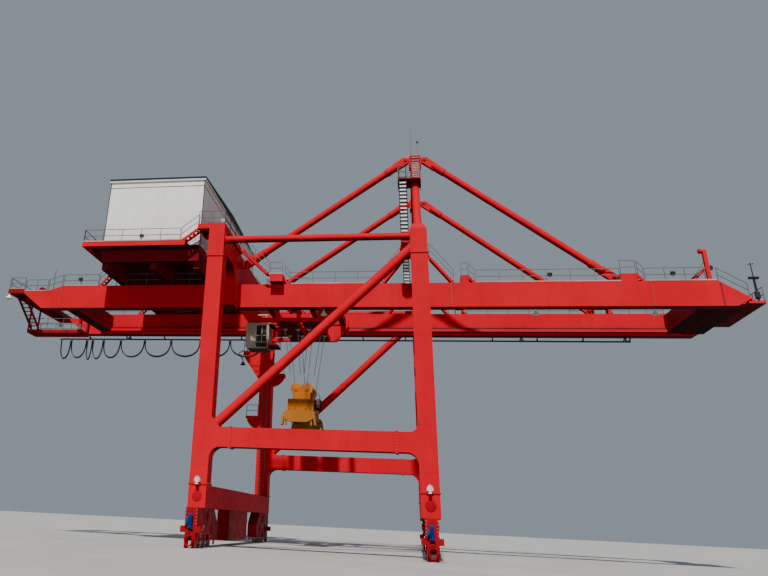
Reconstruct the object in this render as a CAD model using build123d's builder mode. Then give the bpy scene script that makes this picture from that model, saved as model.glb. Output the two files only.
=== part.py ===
from build123d import *
from math import atan2, ceil, cos, hypot, sin, tan
import os

os.makedirs("parts", exist_ok=True)

# A ship-to-shore container crane as a 1:2 scale model.
# One metre of the real crane, in millimetres of the model
M = 500.0
joint_gap = 0.3

# Rails and overall reach
gauge = 16.0 * M
outreach = 26.0 * M
backreach = 21.4 * M

# Legs and portal frames
frame_half = 12.6 * M
leg_depth = 1.2 * M
leg_width = 1.3 * M
sill_bottom = 2.5 * M
sill_top = 4.05 * M
portal_bottom = 6.53 * M
portal_depth = 1.35 * M
splice_reach = 1.45 * M
splice_collar = 0.07 * M
haunch_radius = 0.77 * M
fillet_above = 0.55 * M
cap_bottom = 20.9 * M
cap_top = 22.85 * M
landside_cap_rise = 0.35 * M
flange_thickness = 0.08 * M
flange_lip = 0.06 * M
pipe_radius = 0.29 * M
pipe_drop = 0.45 * M
brace_radius = 0.37 * M
brace_drop = 1.55 * M
gusset_height = 0.7 * M
cabinet_width = 1.0 * M
cabinet_bottom = 0.35 * M
cabinet_near = 4.1 * M
cabinet_far = 2.85 * M

# Cross beams between the leg tops
cross_width = 1.0 * M
cheek_width = 1.48 * M
cheek_drop = 0.16 * M
cheek_radius = 1.5 * M
shoulder_depth = 1.75 * M

# Boom girders
girder_half = 5.2 * M
girder_width = 1.04 * M
girder_bottom = 18.46 * M
girder_depth = 2.04 * M
tail_gap = 1.6 * M
tail_tip = 0.2 * M
tail_low = 0.45 * M
tail_shelf = 2.3 * M
tail_ramp = 1.4 * M
tail_cut = 1.9 * M
nose_gap = 0.95 * M
nose_slope = 2.1 * M
nose_cut = 1.0 * M
nose_tip = 0.13 * M
nose_rise = 0.55 * M
ledge_reach = 0.4 * M
ledge_rise = 0.26 * M
ledge_thickness = 0.24 * M
rail_width = 0.12 * M
rail_height = 0.14 * M
rail_overrun = 15.0 * M
near_splice = 2.6 * M
far_splice = 18.1 * M
splice_strap = 0.16 * M
strap_thickness = 0.03 * M
end_beam_width = 1.2 * M
end_beam_clear = 0.25 * M
strut_side = 0.5 * M

# Masts and stays
apex_height = 31.9 * M
apex_width = 1.06 * M
apex_depth = 1.3 * M
apex_tall = 1.0 * M
apex_shift = 0.1 * M
apex_lug_reach = 0.32 * M
apex_pin_rise = 0.2 * M
apex_bevel = 0.2 * M
mast_radius = 0.32 * M
mast_shoe = 0.47 * M
shoe_top = 0.72 * M
stay_radius = 0.3 * M
forestay_reach = 15.5 * M
forestay_pin = 0.4 * M
backstay_pin = 0.45 * M
backstay_drop = 0.45 * M
lug_radius = 0.3 * M
lug_thickness = 0.12 * M
pin_radius = 0.1 * M
fork_plate = 0.1 * M
fork_length = 0.85 * M
fork_side = 0.44 * M

# Travel gear
wheel_radius = 0.35 * M
wheel_width = 0.2 * M
wheels_each = 4
wheel_pitch = 1.3 * M
bogie_width = 0.85 * M
bogie_overhang = 1.4 * M
bogie_long = 6.0 * M
bogie_clear = 0.45 * M
pivot_half = 1.7 * M
axle_notch = 0.42 * M
motor_recess = 0.35 * M
motor_radius = 0.15 * M
motor_bottom = 1.27 * M
motor_height = 0.85 * M
flare_reach = 0.3 * M
flare_height = 0.4 * M
shoe_width = 0.75 * M
shoe_height = 0.95 * M
shoe_length = 0.25 * M
shoe_slot = 0.31 * M
shoe_arch = 0.62 * M

# Machinery house
house_gap = 1.25 * M
house_length = 8.55 * M
house_half = 10.8 * M
house_wall = 0.15 * M
deck_left = 1.35 * M
deck_side = 1.2 * M
deck_top = 22.45 * M
deck_fascia = 0.4 * M
deck_short = 0.9 * M
deck_well = 0.8 * M
house_stair_run = 1.6 * M
house_stair_foot = 0.42 * M
eaves_height = 28.35 * M
roof_edge = 0.32 * M
roof_rise = 0.5 * M
roof_overhang = 0.14 * M
roof_plate = 0.1 * M
joist_width = 0.5 * M
header_depth = 1.0 * M
header_width = 0.4 * M

# Walkways, stairs and railings
rail_bar = 0.045 * M
rail_tall = 1.1 * M
post_pitch = 2.1 * M
rail_inset = 0.06 * M
floor_depth = 0.3 * M
stair_width = 0.75 * M
stringer_depth = 0.3 * M
stringer_thickness = rail_bar
tread_rise = 0.26 * M
tread_depth = 0.22 * M
tread_thickness = 0.04 * M
leg_floor_left = 1.65 * M
leg_floor_right = 0.65 * M
leg_floor_inner = 9.9 * M
leg_floor_depth = 0.44 * M
thin_floor = 0.12 * M
walk_width = 1.1 * M
landing_height = 0.65 * M
landing_long = 1.15 * M
waterside_run = 2.0 * M
landside_run = 2.7 * M
landside_stair_gap = 0.12 * M
lug_floor_start = 0.4 * M
lug_floor_long = 1.28 * M
step_floor_place = 3.75 * M
step_floor_long = 0.65 * M
short_run = 0.5 * M
ladder_floor_long = 0.97 * M
ladder_floor_start = 7.0 * M
ladder_floor_end = 8.6 * M

# Mast platform, ladder and rods on the apex
mast_floor_height = 28.5 * M
mast_floor_left = 1.47 * M
mast_floor_right = 0.49 * M
mast_floor_width = 2.2 * M
ladder_offset = 1.04 * M
ladder_width = 0.6 * M
ladder_bar = 0.07 * M
rung_pitch = 0.5 * M
aerial_side = 0.06 * M
aerial_tall = 3.3 * M
aerial_short = 1.5 * M

# Tail platform and the service floor hung under it
tail_floor_drop = 0.24 * M
hung_top = 17.6 * M
hung_clear = 0.8 * M
hung_half = 1.0 * M
hanger_side = 0.14 * M

# Davit and lamp post on the nose
nose_floor_top = 18.83 * M
nose_floor_plate = 0.2 * M
nose_floor_half = 5.8 * M
nose_floor_long = 1.2 * M
nose_floor_split = 2.0 * M
lamp_post_side = 0.14 * M
lamp_post_tall = 1.8 * M
lamp_head_long = 0.7 * M
lamp_head_plate = 0.15 * M
lamp_rod_tall = 1.1 * M
davit_place = 22.5 * M
davit_side = 0.3 * M
davit_tall = 2.5 * M
davit_brace_run = 1.6 * M
davit_brace_rise = 1.2 * M
davit_brace_radius = 0.1 * M
davit_arm = 0.28 * M

# Cab boarding platform and landing on the far landside leg
boarding_top = 18.0 * M
boarding_left = 2.3 * M
boarding_right = 0.9 * M
boarding_plate = 0.08 * M
landing_high = 15.9 * M
landing_curve = 1.2
boarding_throat = 15.2 * M
boarding_edge = 0.5 * M
landing_top = 11.6 * M
landing_reach = 1.3 * M

# Cable loops on the far side of the boom
track_side = 0.12 * M
track_reach = 0.35 * M
track_drop = 0.3 * M
track_tail = 21.2 * M
track_nose = 19.0 * M
loop_count = 10
loop_long = 2.25 * M
loop_drop = 1.5 * M
loop_radius = 0.05 * M
loop_belly = 0.55
hook_pitch = 4.0 * M
arm_side = 0.1 * M

# Lamps
LAMP_SIDES = 8
lamp_radius = 0.2 * M
lamp_neck = 0.08 * M
lamp_height = 0.28 * M
back_lamp = -8.1 * M
mid_lamp = 9.24 * M
front_lamp = 18.24 * M

# Trolley and cab
trolley_place = 11.35 * M
trolley_length = 9.3 * M
trolley_bottom = 17.62 * M
trolley_top = 19.7 * M
trolley_rake = 1.1 * M
trolley_side = 0.4 * M
trolley_clear = 0.12 * M
trolley_bay = 1.9 * M
bay_height = 1.0 * M
bay_margin = 0.32 * M
bays = 3
trolley_shoulder = 0.6 * M
tie_width = 0.5 * M
trolley_wheel_radius = 0.3 * M
trolley_wheel_inset = 1.5 * M
wheel_tread = 0.2 * M
cab_place = 15.67 * M
cab_length = 2.07 * M
cab_width = 2.0 * M
cab_height = 2.3 * M
cab_bottom = 15.95 * M
cab_wall = 0.08 * M
cab_blind = 0.95 * M
cab_sill = 0.55 * M
cab_lintel = 0.2 * M
cab_corner = 0.25 * M
cab_pane = 0.05 * M
cab_frame = 0.12 * M
cab_hanger = 0.25 * M
balcony_long = 0.9 * M
balcony_depth = 0.12 * M

# Hoist ropes, head block and spreader
hoist_place = 10.35 * M
rope_side = 0.06 * M
hoist_beam_long = 1.7 * M
hoist_beam_gap = 0.4 * M
hoist_beam_depth = 0.38 * M
rope_spread = 1.3 * M
fall_spread = 1.65 * M
fall_inner = 0.5 * M
lobe_height = 12.37 * M
lobe_radius = 0.5 * M
lobe_offset = 0.465 * M
slot_width = 0.16 * M
slot_floor = 11.75 * M
neck_half = 0.75 * M
neck_bottom = 11.45 * M
housing_thickness = 0.5 * M
sheave_radius = 0.38 * M
sheave_thickness = 0.14 * M
block_half = 1.11 * M
block_bottom = 10.6 * M
block_long = 2.0 * M
block_window = 0.5 * M
spreader_top = 10.35 * M
spreader_depth = 0.9 * M
spreader_half = 3.05 * M
spreader_width = 2.44 * M
spreader_beam = 0.45 * M
end_beam_side = 0.5 * M
flipper_length = 0.5 * M
flipper_drop = 0.75 * M
flipper_thickness = 0.1 * M
twistlock_side = 0.16 * M
twistlock_drop = 0.15 * M

# Places derived from the sizes above, with the crane's middle at X zero
ws = (outreach + gauge + backreach) / 2 - outreach
ls = ws - gauge
nose_end = ws + outreach
tail_end = ls - backreach
leg_line = frame_half - leg_depth / 2
leg_inside = frame_half - leg_depth
bogie_end = frame_half + bogie_overhang
portal_top = portal_bottom + portal_depth
splice_x = leg_width / 2 + splice_reach
girder_top = girder_bottom + girder_depth
girder_outer = girder_half + girder_width / 2
girder_inner = girder_half - girder_width / 2
girder_tail = tail_end + tail_gap
girder_nose = nose_end - nose_gap
ledge_top = girder_bottom + ledge_rise + ledge_thickness
rail_top = ledge_top + rail_height
rail_line = girder_inner - ledge_reach / 2
rail_start = ls - rail_overrun
rail_stop = girder_nose - nose_slope - end_beam_width
SIDES = (-1, 1)
SIDE_NAMES = {-1: "near", 1: "far"}


def block(x0, x1, y0, y1, z0, z1, mode=Mode.ADD):
    """Add a plain box between two corners to the part being built."""
    with Locations(((x0 + x1) / 2, (y0 + y1) / 2, (z0 + z1) / 2)):
        Box(abs(x1 - x0), abs(y1 - y0), abs(z1 - z0), mode=mode)


def rod(a, b, radius, mode=Mode.ADD):
    """Add a round bar between two points."""
    run = Vector(*b) - Vector(*a)
    with Locations(Plane(origin=Vector(*a) + run / 2, z_dir=run)):
        Cylinder(radius, run.length, mode=mode)


def bar(a, b, wide, deep, mode=Mode.ADD):
    """Add a square bar between two points, as wide as given across the run and as deep upward."""
    run = Vector(*b) - Vector(*a)
    across = run.cross(Vector(0, 0, 1)).normalized()
    with Locations(Plane(origin=Vector(*a) + run / 2, x_dir=run, z_dir=across)):
        Box(run.length, deep, wide, mode=mode)


def side_plane(y):
    """A plane facing the quay side, with its X along the boom and its Y upward."""
    return Plane(origin=(0, y, 0), x_dir=(1, 0, 0), z_dir=(0, -1, 0))


def end_plane(x):
    """A plane facing the water, with its X along the quay and its Y upward."""
    return Plane(origin=(x, 0, 0), x_dir=(0, 1, 0), z_dir=(1, 0, 0))


def railing(a, b, tall=rail_tall):
    """Make one straight run of handrail on posts, over a floor that goes from a to b."""
    run = Vector(*b) - Vector(*a)
    level = hypot(run.X, run.Y)
    start = Vector(*a) + run * (rail_inset / level)
    run = run * ((level - 2 * rail_inset) / level)
    bays = max(1, ceil(level / post_pitch))
    foot = abs(run.Z) / level * rail_bar
    posts = [start + run * (n / bays) + Vector(0, 0, (tall - foot) / 2) for n in range(bays + 1)]
    across = run.cross(Vector(0, 0, 1)).normalized()
    rails = [start + run / 2 + Vector(0, 0, tall * share - rail_bar / 2) for share in (0.5, 1)]
    with BuildPart() as fence:
        with Locations(*posts):
            Box(rail_bar, rail_bar, tall + foot)
        with Locations(*[Plane(origin=middle, x_dir=run, z_dir=across) for middle in rails]):
            Box(run.length, rail_bar, rail_bar)
        if foot:
            with Locations(Plane(origin=start + run / 2, x_dir=run, z_dir=across)):
                with Locations((0, -tall / 2, 0)):
                    Box(2 * run.length, tall, tall, mode=Mode.SUBTRACT)
    return fence.part


def floor(x0, x1, y0, y1, top, depth=floor_depth):
    """Add a walkway floor: a plate with a deep edge all round and an open underside."""
    block(x0, x1, y0, y1, top - depth, top)
    block(x0 + rail_bar, x1 - rail_bar, y0 + rail_bar, y1 - rail_bar, top - depth, top - rail_bar,
          mode=Mode.SUBTRACT)


def save(build, name):
    """Label the finished piece and write its file."""
    build.part.label = name
    export_step(build.part, "parts/" + name + ".step")


# Legs: a box column with a haunched stub for the portal beam, a flanged foot and cap, and brace seats
landside_top = cap_top + landside_cap_rise
brace_head = cap_top - brace_drop
brace_angle = atan2(brace_head - portal_top, gauge - leg_width)
gusset_width = gusset_height * tan(brace_angle)


def leg(name, x, toward, side, top):
    """Make one leg whose portal stub points toward the other rail."""
    y = side * leg_line
    inner = x + toward * leg_width / 2
    stub_end = x + toward * splice_x
    with BuildPart() as column:
        with BuildSketch(side_plane(y)):
            with Locations((x, (sill_bottom + top) / 2)):
                Rectangle(leg_width, top - sill_bottom)
            with Locations(((x + stub_end) / 2, portal_bottom + portal_depth / 2)):
                Rectangle(splice_x, portal_depth)
            if toward > 0:
                with BuildLine():
                    Polyline((inner, portal_top), (inner + gusset_width, portal_top),
                             (inner, portal_top + gusset_height), close=True)
                make_face()
        extrude(amount=leg_depth / 2, both=True)
        across = column.edges().filter_by(Axis.Y)
        low = across.filter_by(lambda e: abs(e.center().X - inner) < 1 and abs(e.center().Z - portal_bottom) < 1)
        fillet(low, haunch_radius)
        if toward < 0:
            across = column.edges().filter_by(Axis.Y)
            high = across.filter_by(lambda e: abs(e.center().X - inner) < 1 and abs(e.center().Z - portal_top) < 1)
            fillet(high, fillet_above)
        for level in (sill_top, cap_bottom):
            with Locations((x, y, level)):
                Box(leg_width + 2 * flange_lip, leg_depth + 2 * flange_lip, flange_thickness)
        block(stub_end - toward * flange_thickness, stub_end, y - leg_depth / 2 - splice_collar,
              y + leg_depth / 2 + splice_collar, portal_bottom - splice_collar, portal_top + splice_collar)
        if toward < 0:
            block(inner - 2 * flange_lip, inner, y - brace_radius - joint_gap, y + brace_radius + joint_gap,
                  cap_bottom - flange_thickness, cap_bottom + flange_thickness, mode=Mode.SUBTRACT)
    save(column, name)


for side in SIDES:
    leg("landside_leg_" + SIDE_NAMES[side], ls, 1, side, landside_top)
    leg("waterside_leg_" + SIDE_NAMES[side], ws, -1, side, cap_top)

# Portal beams between the splices, with a collar at each end
with BuildPart() as beams:
    for side in SIDES:
        y = side * leg_line
        block(ls + splice_x, ws - splice_x, y - leg_depth / 2, y + leg_depth / 2, portal_bottom, portal_top)
        for x, toward in ((ls + splice_x, 1), (ws - splice_x, -1)):
            block(x, x + toward * flange_thickness, y - leg_depth / 2 - splice_collar,
                  y + leg_depth / 2 + splice_collar, portal_bottom - splice_collar,
                  portal_top + splice_collar)
save(beams, "portal_beams")

# Sill beams between the legs, with an electrical cabinet under the landside one
with BuildPart() as sills:
    for x in (ls, ws):
        block(x - leg_width / 2, x + leg_width / 2, -leg_inside, leg_inside, sill_bottom,
              sill_top - flange_thickness)
save(sills, "sill_beams")
with BuildPart() as cabinet:
    block(ls - cabinet_width / 2, ls + cabinet_width / 2, -cabinet_near, cabinet_far, cabinet_bottom,
          sill_bottom)
save(cabinet, "sill_cabinet")

# Cross beams: shallow at the legs, curving down into cheeks that hold the girders from outside,
# with lugs for the backstays on the landside one
back_x = ls + cross_width / 2 + backstay_pin
back_z = cap_top - backstay_drop
cheek_out = girder_outer + cheek_width
for x, top, name in ((ls, landside_top, "landside_cross_beam"), (ws, cap_top, "waterside_cross_beam")):
    shoulder = top - shoulder_depth
    half = [(leg_inside, top), (leg_inside, shoulder), (cheek_out, shoulder), (cheek_out,
                                                                               girder_bottom - cheek_drop),
            (girder_outer, girder_bottom - cheek_drop), (girder_outer, girder_top)]
    outline = half + [(-y, z) for y, z in reversed(half)]
    with BuildPart() as cross:
        with BuildSketch(end_plane(x)):
            with BuildLine():
                Polyline(*outline, close=True)
            make_face()
        extrude(amount=cross_width / 2, both=True)
        along = cross.edges().filter_by(Axis.X)
        inside = along.filter_by(lambda e: abs(abs(e.center().Y) - cheek_out) < 1 and abs(e.center().Z - shoulder) < 1)
        fillet(inside, cheek_radius)
        if x == ls:
            for side in SIDES:
                y = side * girder_half
                block(ls + cross_width / 2, back_x, y - lug_thickness / 2, y + lug_thickness / 2,
                      back_z - lug_radius, back_z + lug_radius)
                rod((back_x, y - lug_thickness / 2, back_z), (back_x, y + lug_thickness / 2, back_z),
                    lug_radius)
                rod((back_x, y - lug_thickness, back_z), (back_x, y + lug_thickness, back_z),
                    pin_radius + joint_gap, mode=Mode.SUBTRACT)
    save(cross, name)

# Tie pipes, and diagonal braces from the gusset on one leg to the face of the other
tie_height = cap_top - pipe_drop
seat_x = ls + leg_width / 2 + gusset_width / 2
seat_z = portal_top + gusset_height / 2
brace_reach = (ws - leg_width / 2 - seat_x) / cos(brace_angle) + 2 * brace_radius
with BuildPart() as ties:
    for side in SIDES:
        y = side * leg_line
        rod((ls + leg_width / 2, y, tie_height), (ws - leg_width / 2, y, tie_height), pipe_radius)
save(ties, "tie_pipes")
with BuildPart() as braces:
    for side in SIDES:
        y = side * leg_line
        tip = (seat_x + brace_reach * cos(brace_angle), y, seat_z + brace_reach * sin(brace_angle))
        rod((seat_x, y, seat_z), tip, brace_radius)
    block(ws - leg_width / 2, ws + 2 * leg_width, -frame_half, frame_half, portal_top, 2 * cap_top,
          mode=Mode.SUBTRACT)
save(braces, "brace_pipes")

# Boom girders: a box with an inward ledge, a cut-back tail, a sloped nose, splice straps and a stay lug
fore_x = ws + forestay_reach
fore_z = girder_top + forestay_pin
tail_ramp_end = girder_tail + tail_shelf + tail_ramp
nose_slope_start = girder_nose - nose_slope
ledge_bottom = girder_bottom + ledge_rise
nose_low = girder_bottom + nose_rise
tail_high = girder_top - tail_low
strap_places = (tail_ramp_end, ws + near_splice, ws + far_splice)
for side in SIDES:
    y = side * girder_half
    inner = side * girder_inner
    outer = side * girder_outer
    with BuildPart() as girder:
        with BuildSketch(side_plane(y)):
            with BuildLine():
                Polyline(
                    (girder_tail, tail_high - tail_tip),
                    (girder_tail, tail_high),
                    (girder_tail + tail_shelf, tail_high),
                    (tail_ramp_end, girder_top),
                    (nose_slope_start, girder_top),
                    (girder_nose, nose_low + nose_tip),
                    (girder_nose, nose_low),
                    (girder_nose - nose_cut, girder_bottom),
                    (girder_tail + tail_cut, girder_bottom),
                    close=True)
            make_face()
        extrude(amount=girder_width / 2, both=True)
        block(rail_start, rail_stop, inner, inner - side * ledge_reach, ledge_bottom, ledge_top)
        for x in strap_places:
            block(x - splice_strap / 2, x + splice_strap / 2, outer, outer + side * strap_thickness,
                  girder_bottom, girder_top)
        block(fore_x - lug_radius, fore_x + lug_radius, y - lug_thickness / 2, y + lug_thickness / 2,
              girder_top, fore_z)
        rod((fore_x, y - lug_thickness / 2, fore_z), (fore_x, y + lug_thickness / 2, fore_z), lug_radius)
        rod((fore_x, y - lug_thickness, fore_z), (fore_x, y + lug_thickness, fore_z), pin_radius + joint_gap,
            mode=Mode.SUBTRACT)
    save(girder, "girder_" + SIDE_NAMES[side])

# Beams that tie the girders at the nose and the tail
with BuildPart() as nose_beam:
    block(rail_stop, nose_slope_start, -girder_inner, girder_inner, girder_bottom + end_beam_clear,
          girder_top - end_beam_clear)
    floor_start = nose_end - nose_floor_long
    block(floor_start - strut_side, floor_start, -girder_inner, girder_inner,
          nose_floor_top - nose_floor_plate,
          nose_low)
save(nose_beam, "nose_beam")
with BuildPart() as tail_beam:
    block(rail_start - end_beam_width, rail_start, -girder_inner, girder_inner,
          girder_bottom + end_beam_clear,
          girder_top - end_beam_clear)
save(tail_beam, "tail_beam")

# Trolley rails on the ledges
with BuildPart() as rails:
    for side in SIDES:
        y = side * rail_line
        block(rail_start, rail_stop, y - rail_width / 2, y + rail_width / 2, ledge_top, rail_top)
save(rails, "trolley_rails")

# Masts: a shoe on the waterside cap, an inclined pipe and a bevelled head with a lug for each stay
head_x = ws + apex_shift
stay_top_z = apex_height + apex_pin_rise
fore_pin_x = head_x + apex_width / 2 + apex_lug_reach
back_pin_x = head_x - apex_width / 2 - apex_lug_reach
mast_lean = (leg_line - girder_half) / (apex_height - cap_top)
with BuildPart() as masts:
    for side in SIDES:
        y = side * girder_half
        with BuildSketch(Plane.XY.offset(cap_top)):
            with Locations((ws, side * leg_line)):
                Rectangle(leg_width, leg_depth)
        with BuildSketch(Plane.XY.offset(cap_top + mast_shoe)):
            with Locations((ws, side * leg_line)):
                Rectangle(shoe_top, shoe_top)
        loft(ruled=True)
        rod((ws, side * leg_line, cap_top), (ws, y, apex_height), mast_radius)
        block(ws - leg_width, ws + leg_width, -frame_half, frame_half, cap_top - leg_width, cap_top,
              mode=Mode.SUBTRACT)
        with BuildSketch(end_plane(head_x)):
            with BuildLine():
                Polyline(
                    (y - apex_depth / 2, apex_height - apex_tall / 2),
                    (y + apex_depth / 2, apex_height - apex_tall / 2),
                    (y + apex_depth / 2, apex_height + apex_tall / 2 - apex_bevel),
                    (y + apex_depth / 2 - apex_bevel, apex_height + apex_tall / 2),
                    (y - apex_depth / 2 + apex_bevel, apex_height + apex_tall / 2),
                    (y - apex_depth / 2, apex_height + apex_tall / 2 - apex_bevel),
                    close=True)
            make_face()
        extrude(amount=apex_width / 2, both=True)
        for pin_x in (fore_pin_x, back_pin_x):
            block(head_x, pin_x, y - lug_thickness / 2, y + lug_thickness / 2, stay_top_z - lug_radius,
                  stay_top_z + lug_radius)
            rod((pin_x, y - lug_thickness / 2, stay_top_z), (pin_x, y + lug_thickness / 2, stay_top_z),
                lug_radius)
            rod((pin_x, y - lug_thickness, stay_top_z), (pin_x, y + lug_thickness, stay_top_z),
                pin_radius + joint_gap, mode=Mode.SUBTRACT)
save(masts, "masts")
with BuildPart() as apex:
    block(ws - mast_radius, ws + mast_radius, -girder_half + apex_depth / 2, girder_half - apex_depth / 2,
          apex_height - mast_radius, apex_height + mast_radius)
save(apex, "apex_beam")

# Rigid stays: pipes with a forked plate and a pin at each end
fork_offset = lug_thickness / 2 + joint_gap + fork_plate / 2
for top_x, low_x, low_z, name in ((fore_pin_x, fore_x, fore_z, "forestays"),
                                  (back_pin_x, back_x, back_z, "backstays")):
    with BuildPart() as stays:
        for side in SIDES:
            top = Vector(top_x, side * girder_half, stay_top_z)
            low = Vector(low_x, side * girder_half, low_z)
            along = (low - top).normalized()
            rod(top + along * fork_length, low - along * fork_length, stay_radius)
            for pin, way in ((top, along), (low, -along)):
                inside = pin + way * (fork_length + stay_radius)
                for face in SIDES:
                    shift = Vector(0, face * fork_offset, 0)
                    bar(pin - way * (fork_side / 2) + shift, inside + shift, fork_plate, fork_side)
                rod(pin - Vector(0, fork_offset + fork_plate, 0), pin + Vector(0,
                                                                               fork_offset + fork_plate, 0),
                    pin_radius)
    save(stays, name)

# Bogies under each corner: one outline with a raised pivot, a notch between the trucks and wheel slots
bogie_face = bogie_end - motor_recess
bogie_inner = bogie_face - bogie_long
pivot_mid = (bogie_face + bogie_inner) / 2
body_top = (sill_bottom + bogie_clear) / 2
with BuildPart() as bogies:
    for x in (ls, ws):
        for side in SIDES:
            with BuildSketch(end_plane(x)):
                with BuildLine():
                    Polyline(
                        (side * bogie_face, shoe_height),
                        (side * bogie_face, sill_bottom),
                        (side * (pivot_mid - pivot_half), sill_bottom),
                        (side * bogie_inner, body_top),
                        (side * bogie_inner, bogie_clear),
                        (side * (bogie_face - shoe_length), bogie_clear),
                        (side * (bogie_face - shoe_length), shoe_height),
                        close=True)
                make_face()
                with Locations((side * pivot_mid, bogie_clear)):
                    Circle(axle_notch, mode=Mode.SUBTRACT)
            extrude(amount=bogie_width / 2, both=True)
            for n in range(wheels_each):
                y = side * (pivot_mid + (n - (wheels_each - 1) / 2) * wheel_pitch)
                half = wheel_radius + joint_gap
                block(x - wheel_width / 2 - joint_gap, x + wheel_width / 2 + joint_gap, y - half, y + half, 0,
                      wheel_radius + half, mode=Mode.SUBTRACT)
            y0, y1 = side * bogie_face, side * (bogie_face - flare_height)
            block(x - bogie_width / 2 - flare_reach, x + bogie_width / 2 + flare_reach, y0, y1,
                  shoe_height, shoe_height + flare_height)
save(bogies, "bogies")
with BuildPart() as wheels:
    for x in (ls, ws):
        for side in SIDES:
            for n in range(wheels_each):
                y = side * (pivot_mid + (n - (wheels_each - 1) / 2) * wheel_pitch)
                rod((x - wheel_width / 2, y, wheel_radius), (x + wheel_width / 2, y, wheel_radius),
                    wheel_radius)
save(wheels, "travel_wheels")

# Travel motors on the outer ends, and arched rail clamps below them
with BuildPart() as motors:
    for x in (ls, ws):
        for side in SIDES:
            y = side * (bogie_end - motor_radius)
            rod((x, y, motor_bottom), (x, y, motor_bottom + motor_height), motor_radius)
            block(x - motor_radius / 2, x + motor_radius / 2, y, side * bogie_face,
                  motor_bottom + motor_radius,
                  motor_bottom + motor_height - motor_radius)
save(motors, "travel_motors")
with BuildPart() as clamps:
    for x in (ls, ws):
        for side in SIDES:
            with BuildSketch(side_plane(side * (bogie_face - shoe_length / 2))):
                with Locations((x, shoe_height / 2)):
                    Rectangle(shoe_width, shoe_height)
                with Locations((x, shoe_arch / 2)):
                    Rectangle(shoe_slot, shoe_arch, mode=Mode.SUBTRACT)
            extrude(amount=shoe_length / 2, both=True)
save(clamps, "rail_clamps")

# House deck on beams across the girders
house_x1 = ls - leg_width / 2 - house_gap
house_x0 = house_x1 - house_length
deck_x0 = house_x0 - deck_left
deck_y = house_half + deck_side
deck_under = deck_top - deck_fascia
house_mid = (house_x0 + house_x1) / 2
with BuildPart() as joists:
    for x in (house_x0, house_mid, house_x1 - joist_width):
        block(x, x + joist_width, header_width - house_half, house_half - header_width, girder_top,
              deck_under)
save(joists, "house_beams")
with BuildPart() as headers:
    for side in SIDES:
        y = side * house_half
        block(house_x0, house_x1, y, y - side * header_width, deck_under - header_depth, deck_under)
save(headers, "house_headers")
with BuildPart() as deck:
    floor(deck_x0, house_x1, -deck_y, deck_y, deck_top, deck_fascia)
    block(house_x1 - deck_short, house_x1, house_half, deck_y, deck_under, deck_top, mode=Mode.SUBTRACT)
    block(house_x1 - deck_short, house_x1, -deck_y, -house_half, deck_under, deck_top, mode=Mode.SUBTRACT)
    for side in SIDES:
        block(deck_x0, deck_x0 + deck_well, side * girder_outer, side * (girder_outer - stair_width),
              deck_under,
              deck_top, mode=Mode.SUBTRACT)
save(deck, "house_platform")

# Machinery house: a sheet-metal room under a low pitched roof with a dark edge
with BuildPart() as house:
    block(house_x0, house_x1, -house_half, house_half, deck_top, eaves_height)
    block(house_x0 + house_wall, house_x1 - house_wall, house_wall - house_half, house_half - house_wall,
          deck_top, eaves_height, mode=Mode.SUBTRACT)
save(house, "machinery_house")
with BuildPart() as roof:
    edge = house_half + roof_overhang
    with BuildSketch(end_plane(house_mid)):
        with BuildLine():
            Polyline((-edge, eaves_height), (edge, eaves_height), (edge, eaves_height + roof_edge),
                     (0, eaves_height + roof_edge + roof_rise), (-edge, eaves_height + roof_edge), close=True)
        make_face()
    extrude(amount=house_length / 2 + roof_overhang, both=True)
    inner = house_half - house_wall
    with BuildSketch(end_plane(house_mid)):
        with BuildLine():
            Polyline((-inner, eaves_height), (inner, eaves_height),
                     (inner, eaves_height + roof_edge - roof_plate),
                     (0, eaves_height + roof_edge + roof_rise - roof_plate),
                     (-inner, eaves_height + roof_edge - roof_plate), close=True)
        make_face()
    extrude(amount=house_length / 2 - house_wall, both=True, mode=Mode.SUBTRACT)
save(roof, "house_roof")

# Floors over the cross beams: at the landside legs, beside the mast feet and under the mast ladders
leg_floor_top = landside_top + leg_floor_depth
waterside_floor = cap_top + thin_floor
stair_edge = girder_outer - stair_width
outer_stair_in = girder_outer + landside_stair_gap
outer_stair_out = outer_stair_in + stair_width
left_stair_x = ws - leg_floor_right - joint_gap - short_run
right_stair_x = ws + leg_floor_right + short_run / 2
with BuildPart() as crossings:
    for side in SIDES:
        floor(ls - leg_floor_left, ls + leg_floor_right, side * frame_half, side * leg_floor_inner,
              leg_floor_top, leg_floor_depth)
        floor(ls - cross_width / 2, ls + leg_floor_right, side * leg_floor_inner, side * outer_stair_in,
              leg_floor_top, leg_floor_depth)
        block(left_stair_x, right_stair_x, side * girder_outer, side * stair_edge, cap_top, waterside_floor)
        floor(ws - cross_width / 2 - ladder_floor_long, ws - cross_width / 2, side * ladder_floor_end,
              side * ladder_floor_start, cap_top)
save(crossings, "crossing_floors")

# Raised landings on the girders, at the stays, beside the waterside stair and under the landside stair
landing_top_z = girder_top + landing_height
landside_foot = ls + leg_floor_right + landside_run
LANDINGS = (
    (landside_foot, landing_long, outer_stair_out),
    (ws + step_floor_place - step_floor_long / 2, step_floor_long, girder_outer),
    (fore_x + lug_floor_start, lug_floor_long, girder_outer),
)
with BuildPart() as landings:
    for side in SIDES:
        for x, long, y in LANDINGS:
            floor(x, x + long, side * y, side * girder_inner, landing_top_z, landing_height)
save(landings, "girder_landings")

# Mast platforms, each with a hole that the inclined mast passes through
mast_y = leg_line - (mast_floor_height - cap_top) * mast_lean
with BuildPart() as mast_floors:
    for side in SIDES:
        floor(ws - mast_floor_left, ws + mast_floor_right, side * (mast_y - mast_floor_width / 2),
              side * (mast_y + mast_floor_width / 2), mast_floor_height + floor_depth)
        rod((ws, side * leg_line, cap_top), (ws, side * girder_half, apex_height), mast_radius + joint_gap,
            mode=Mode.SUBTRACT)
save(mast_floors, "mast_platform")

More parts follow.
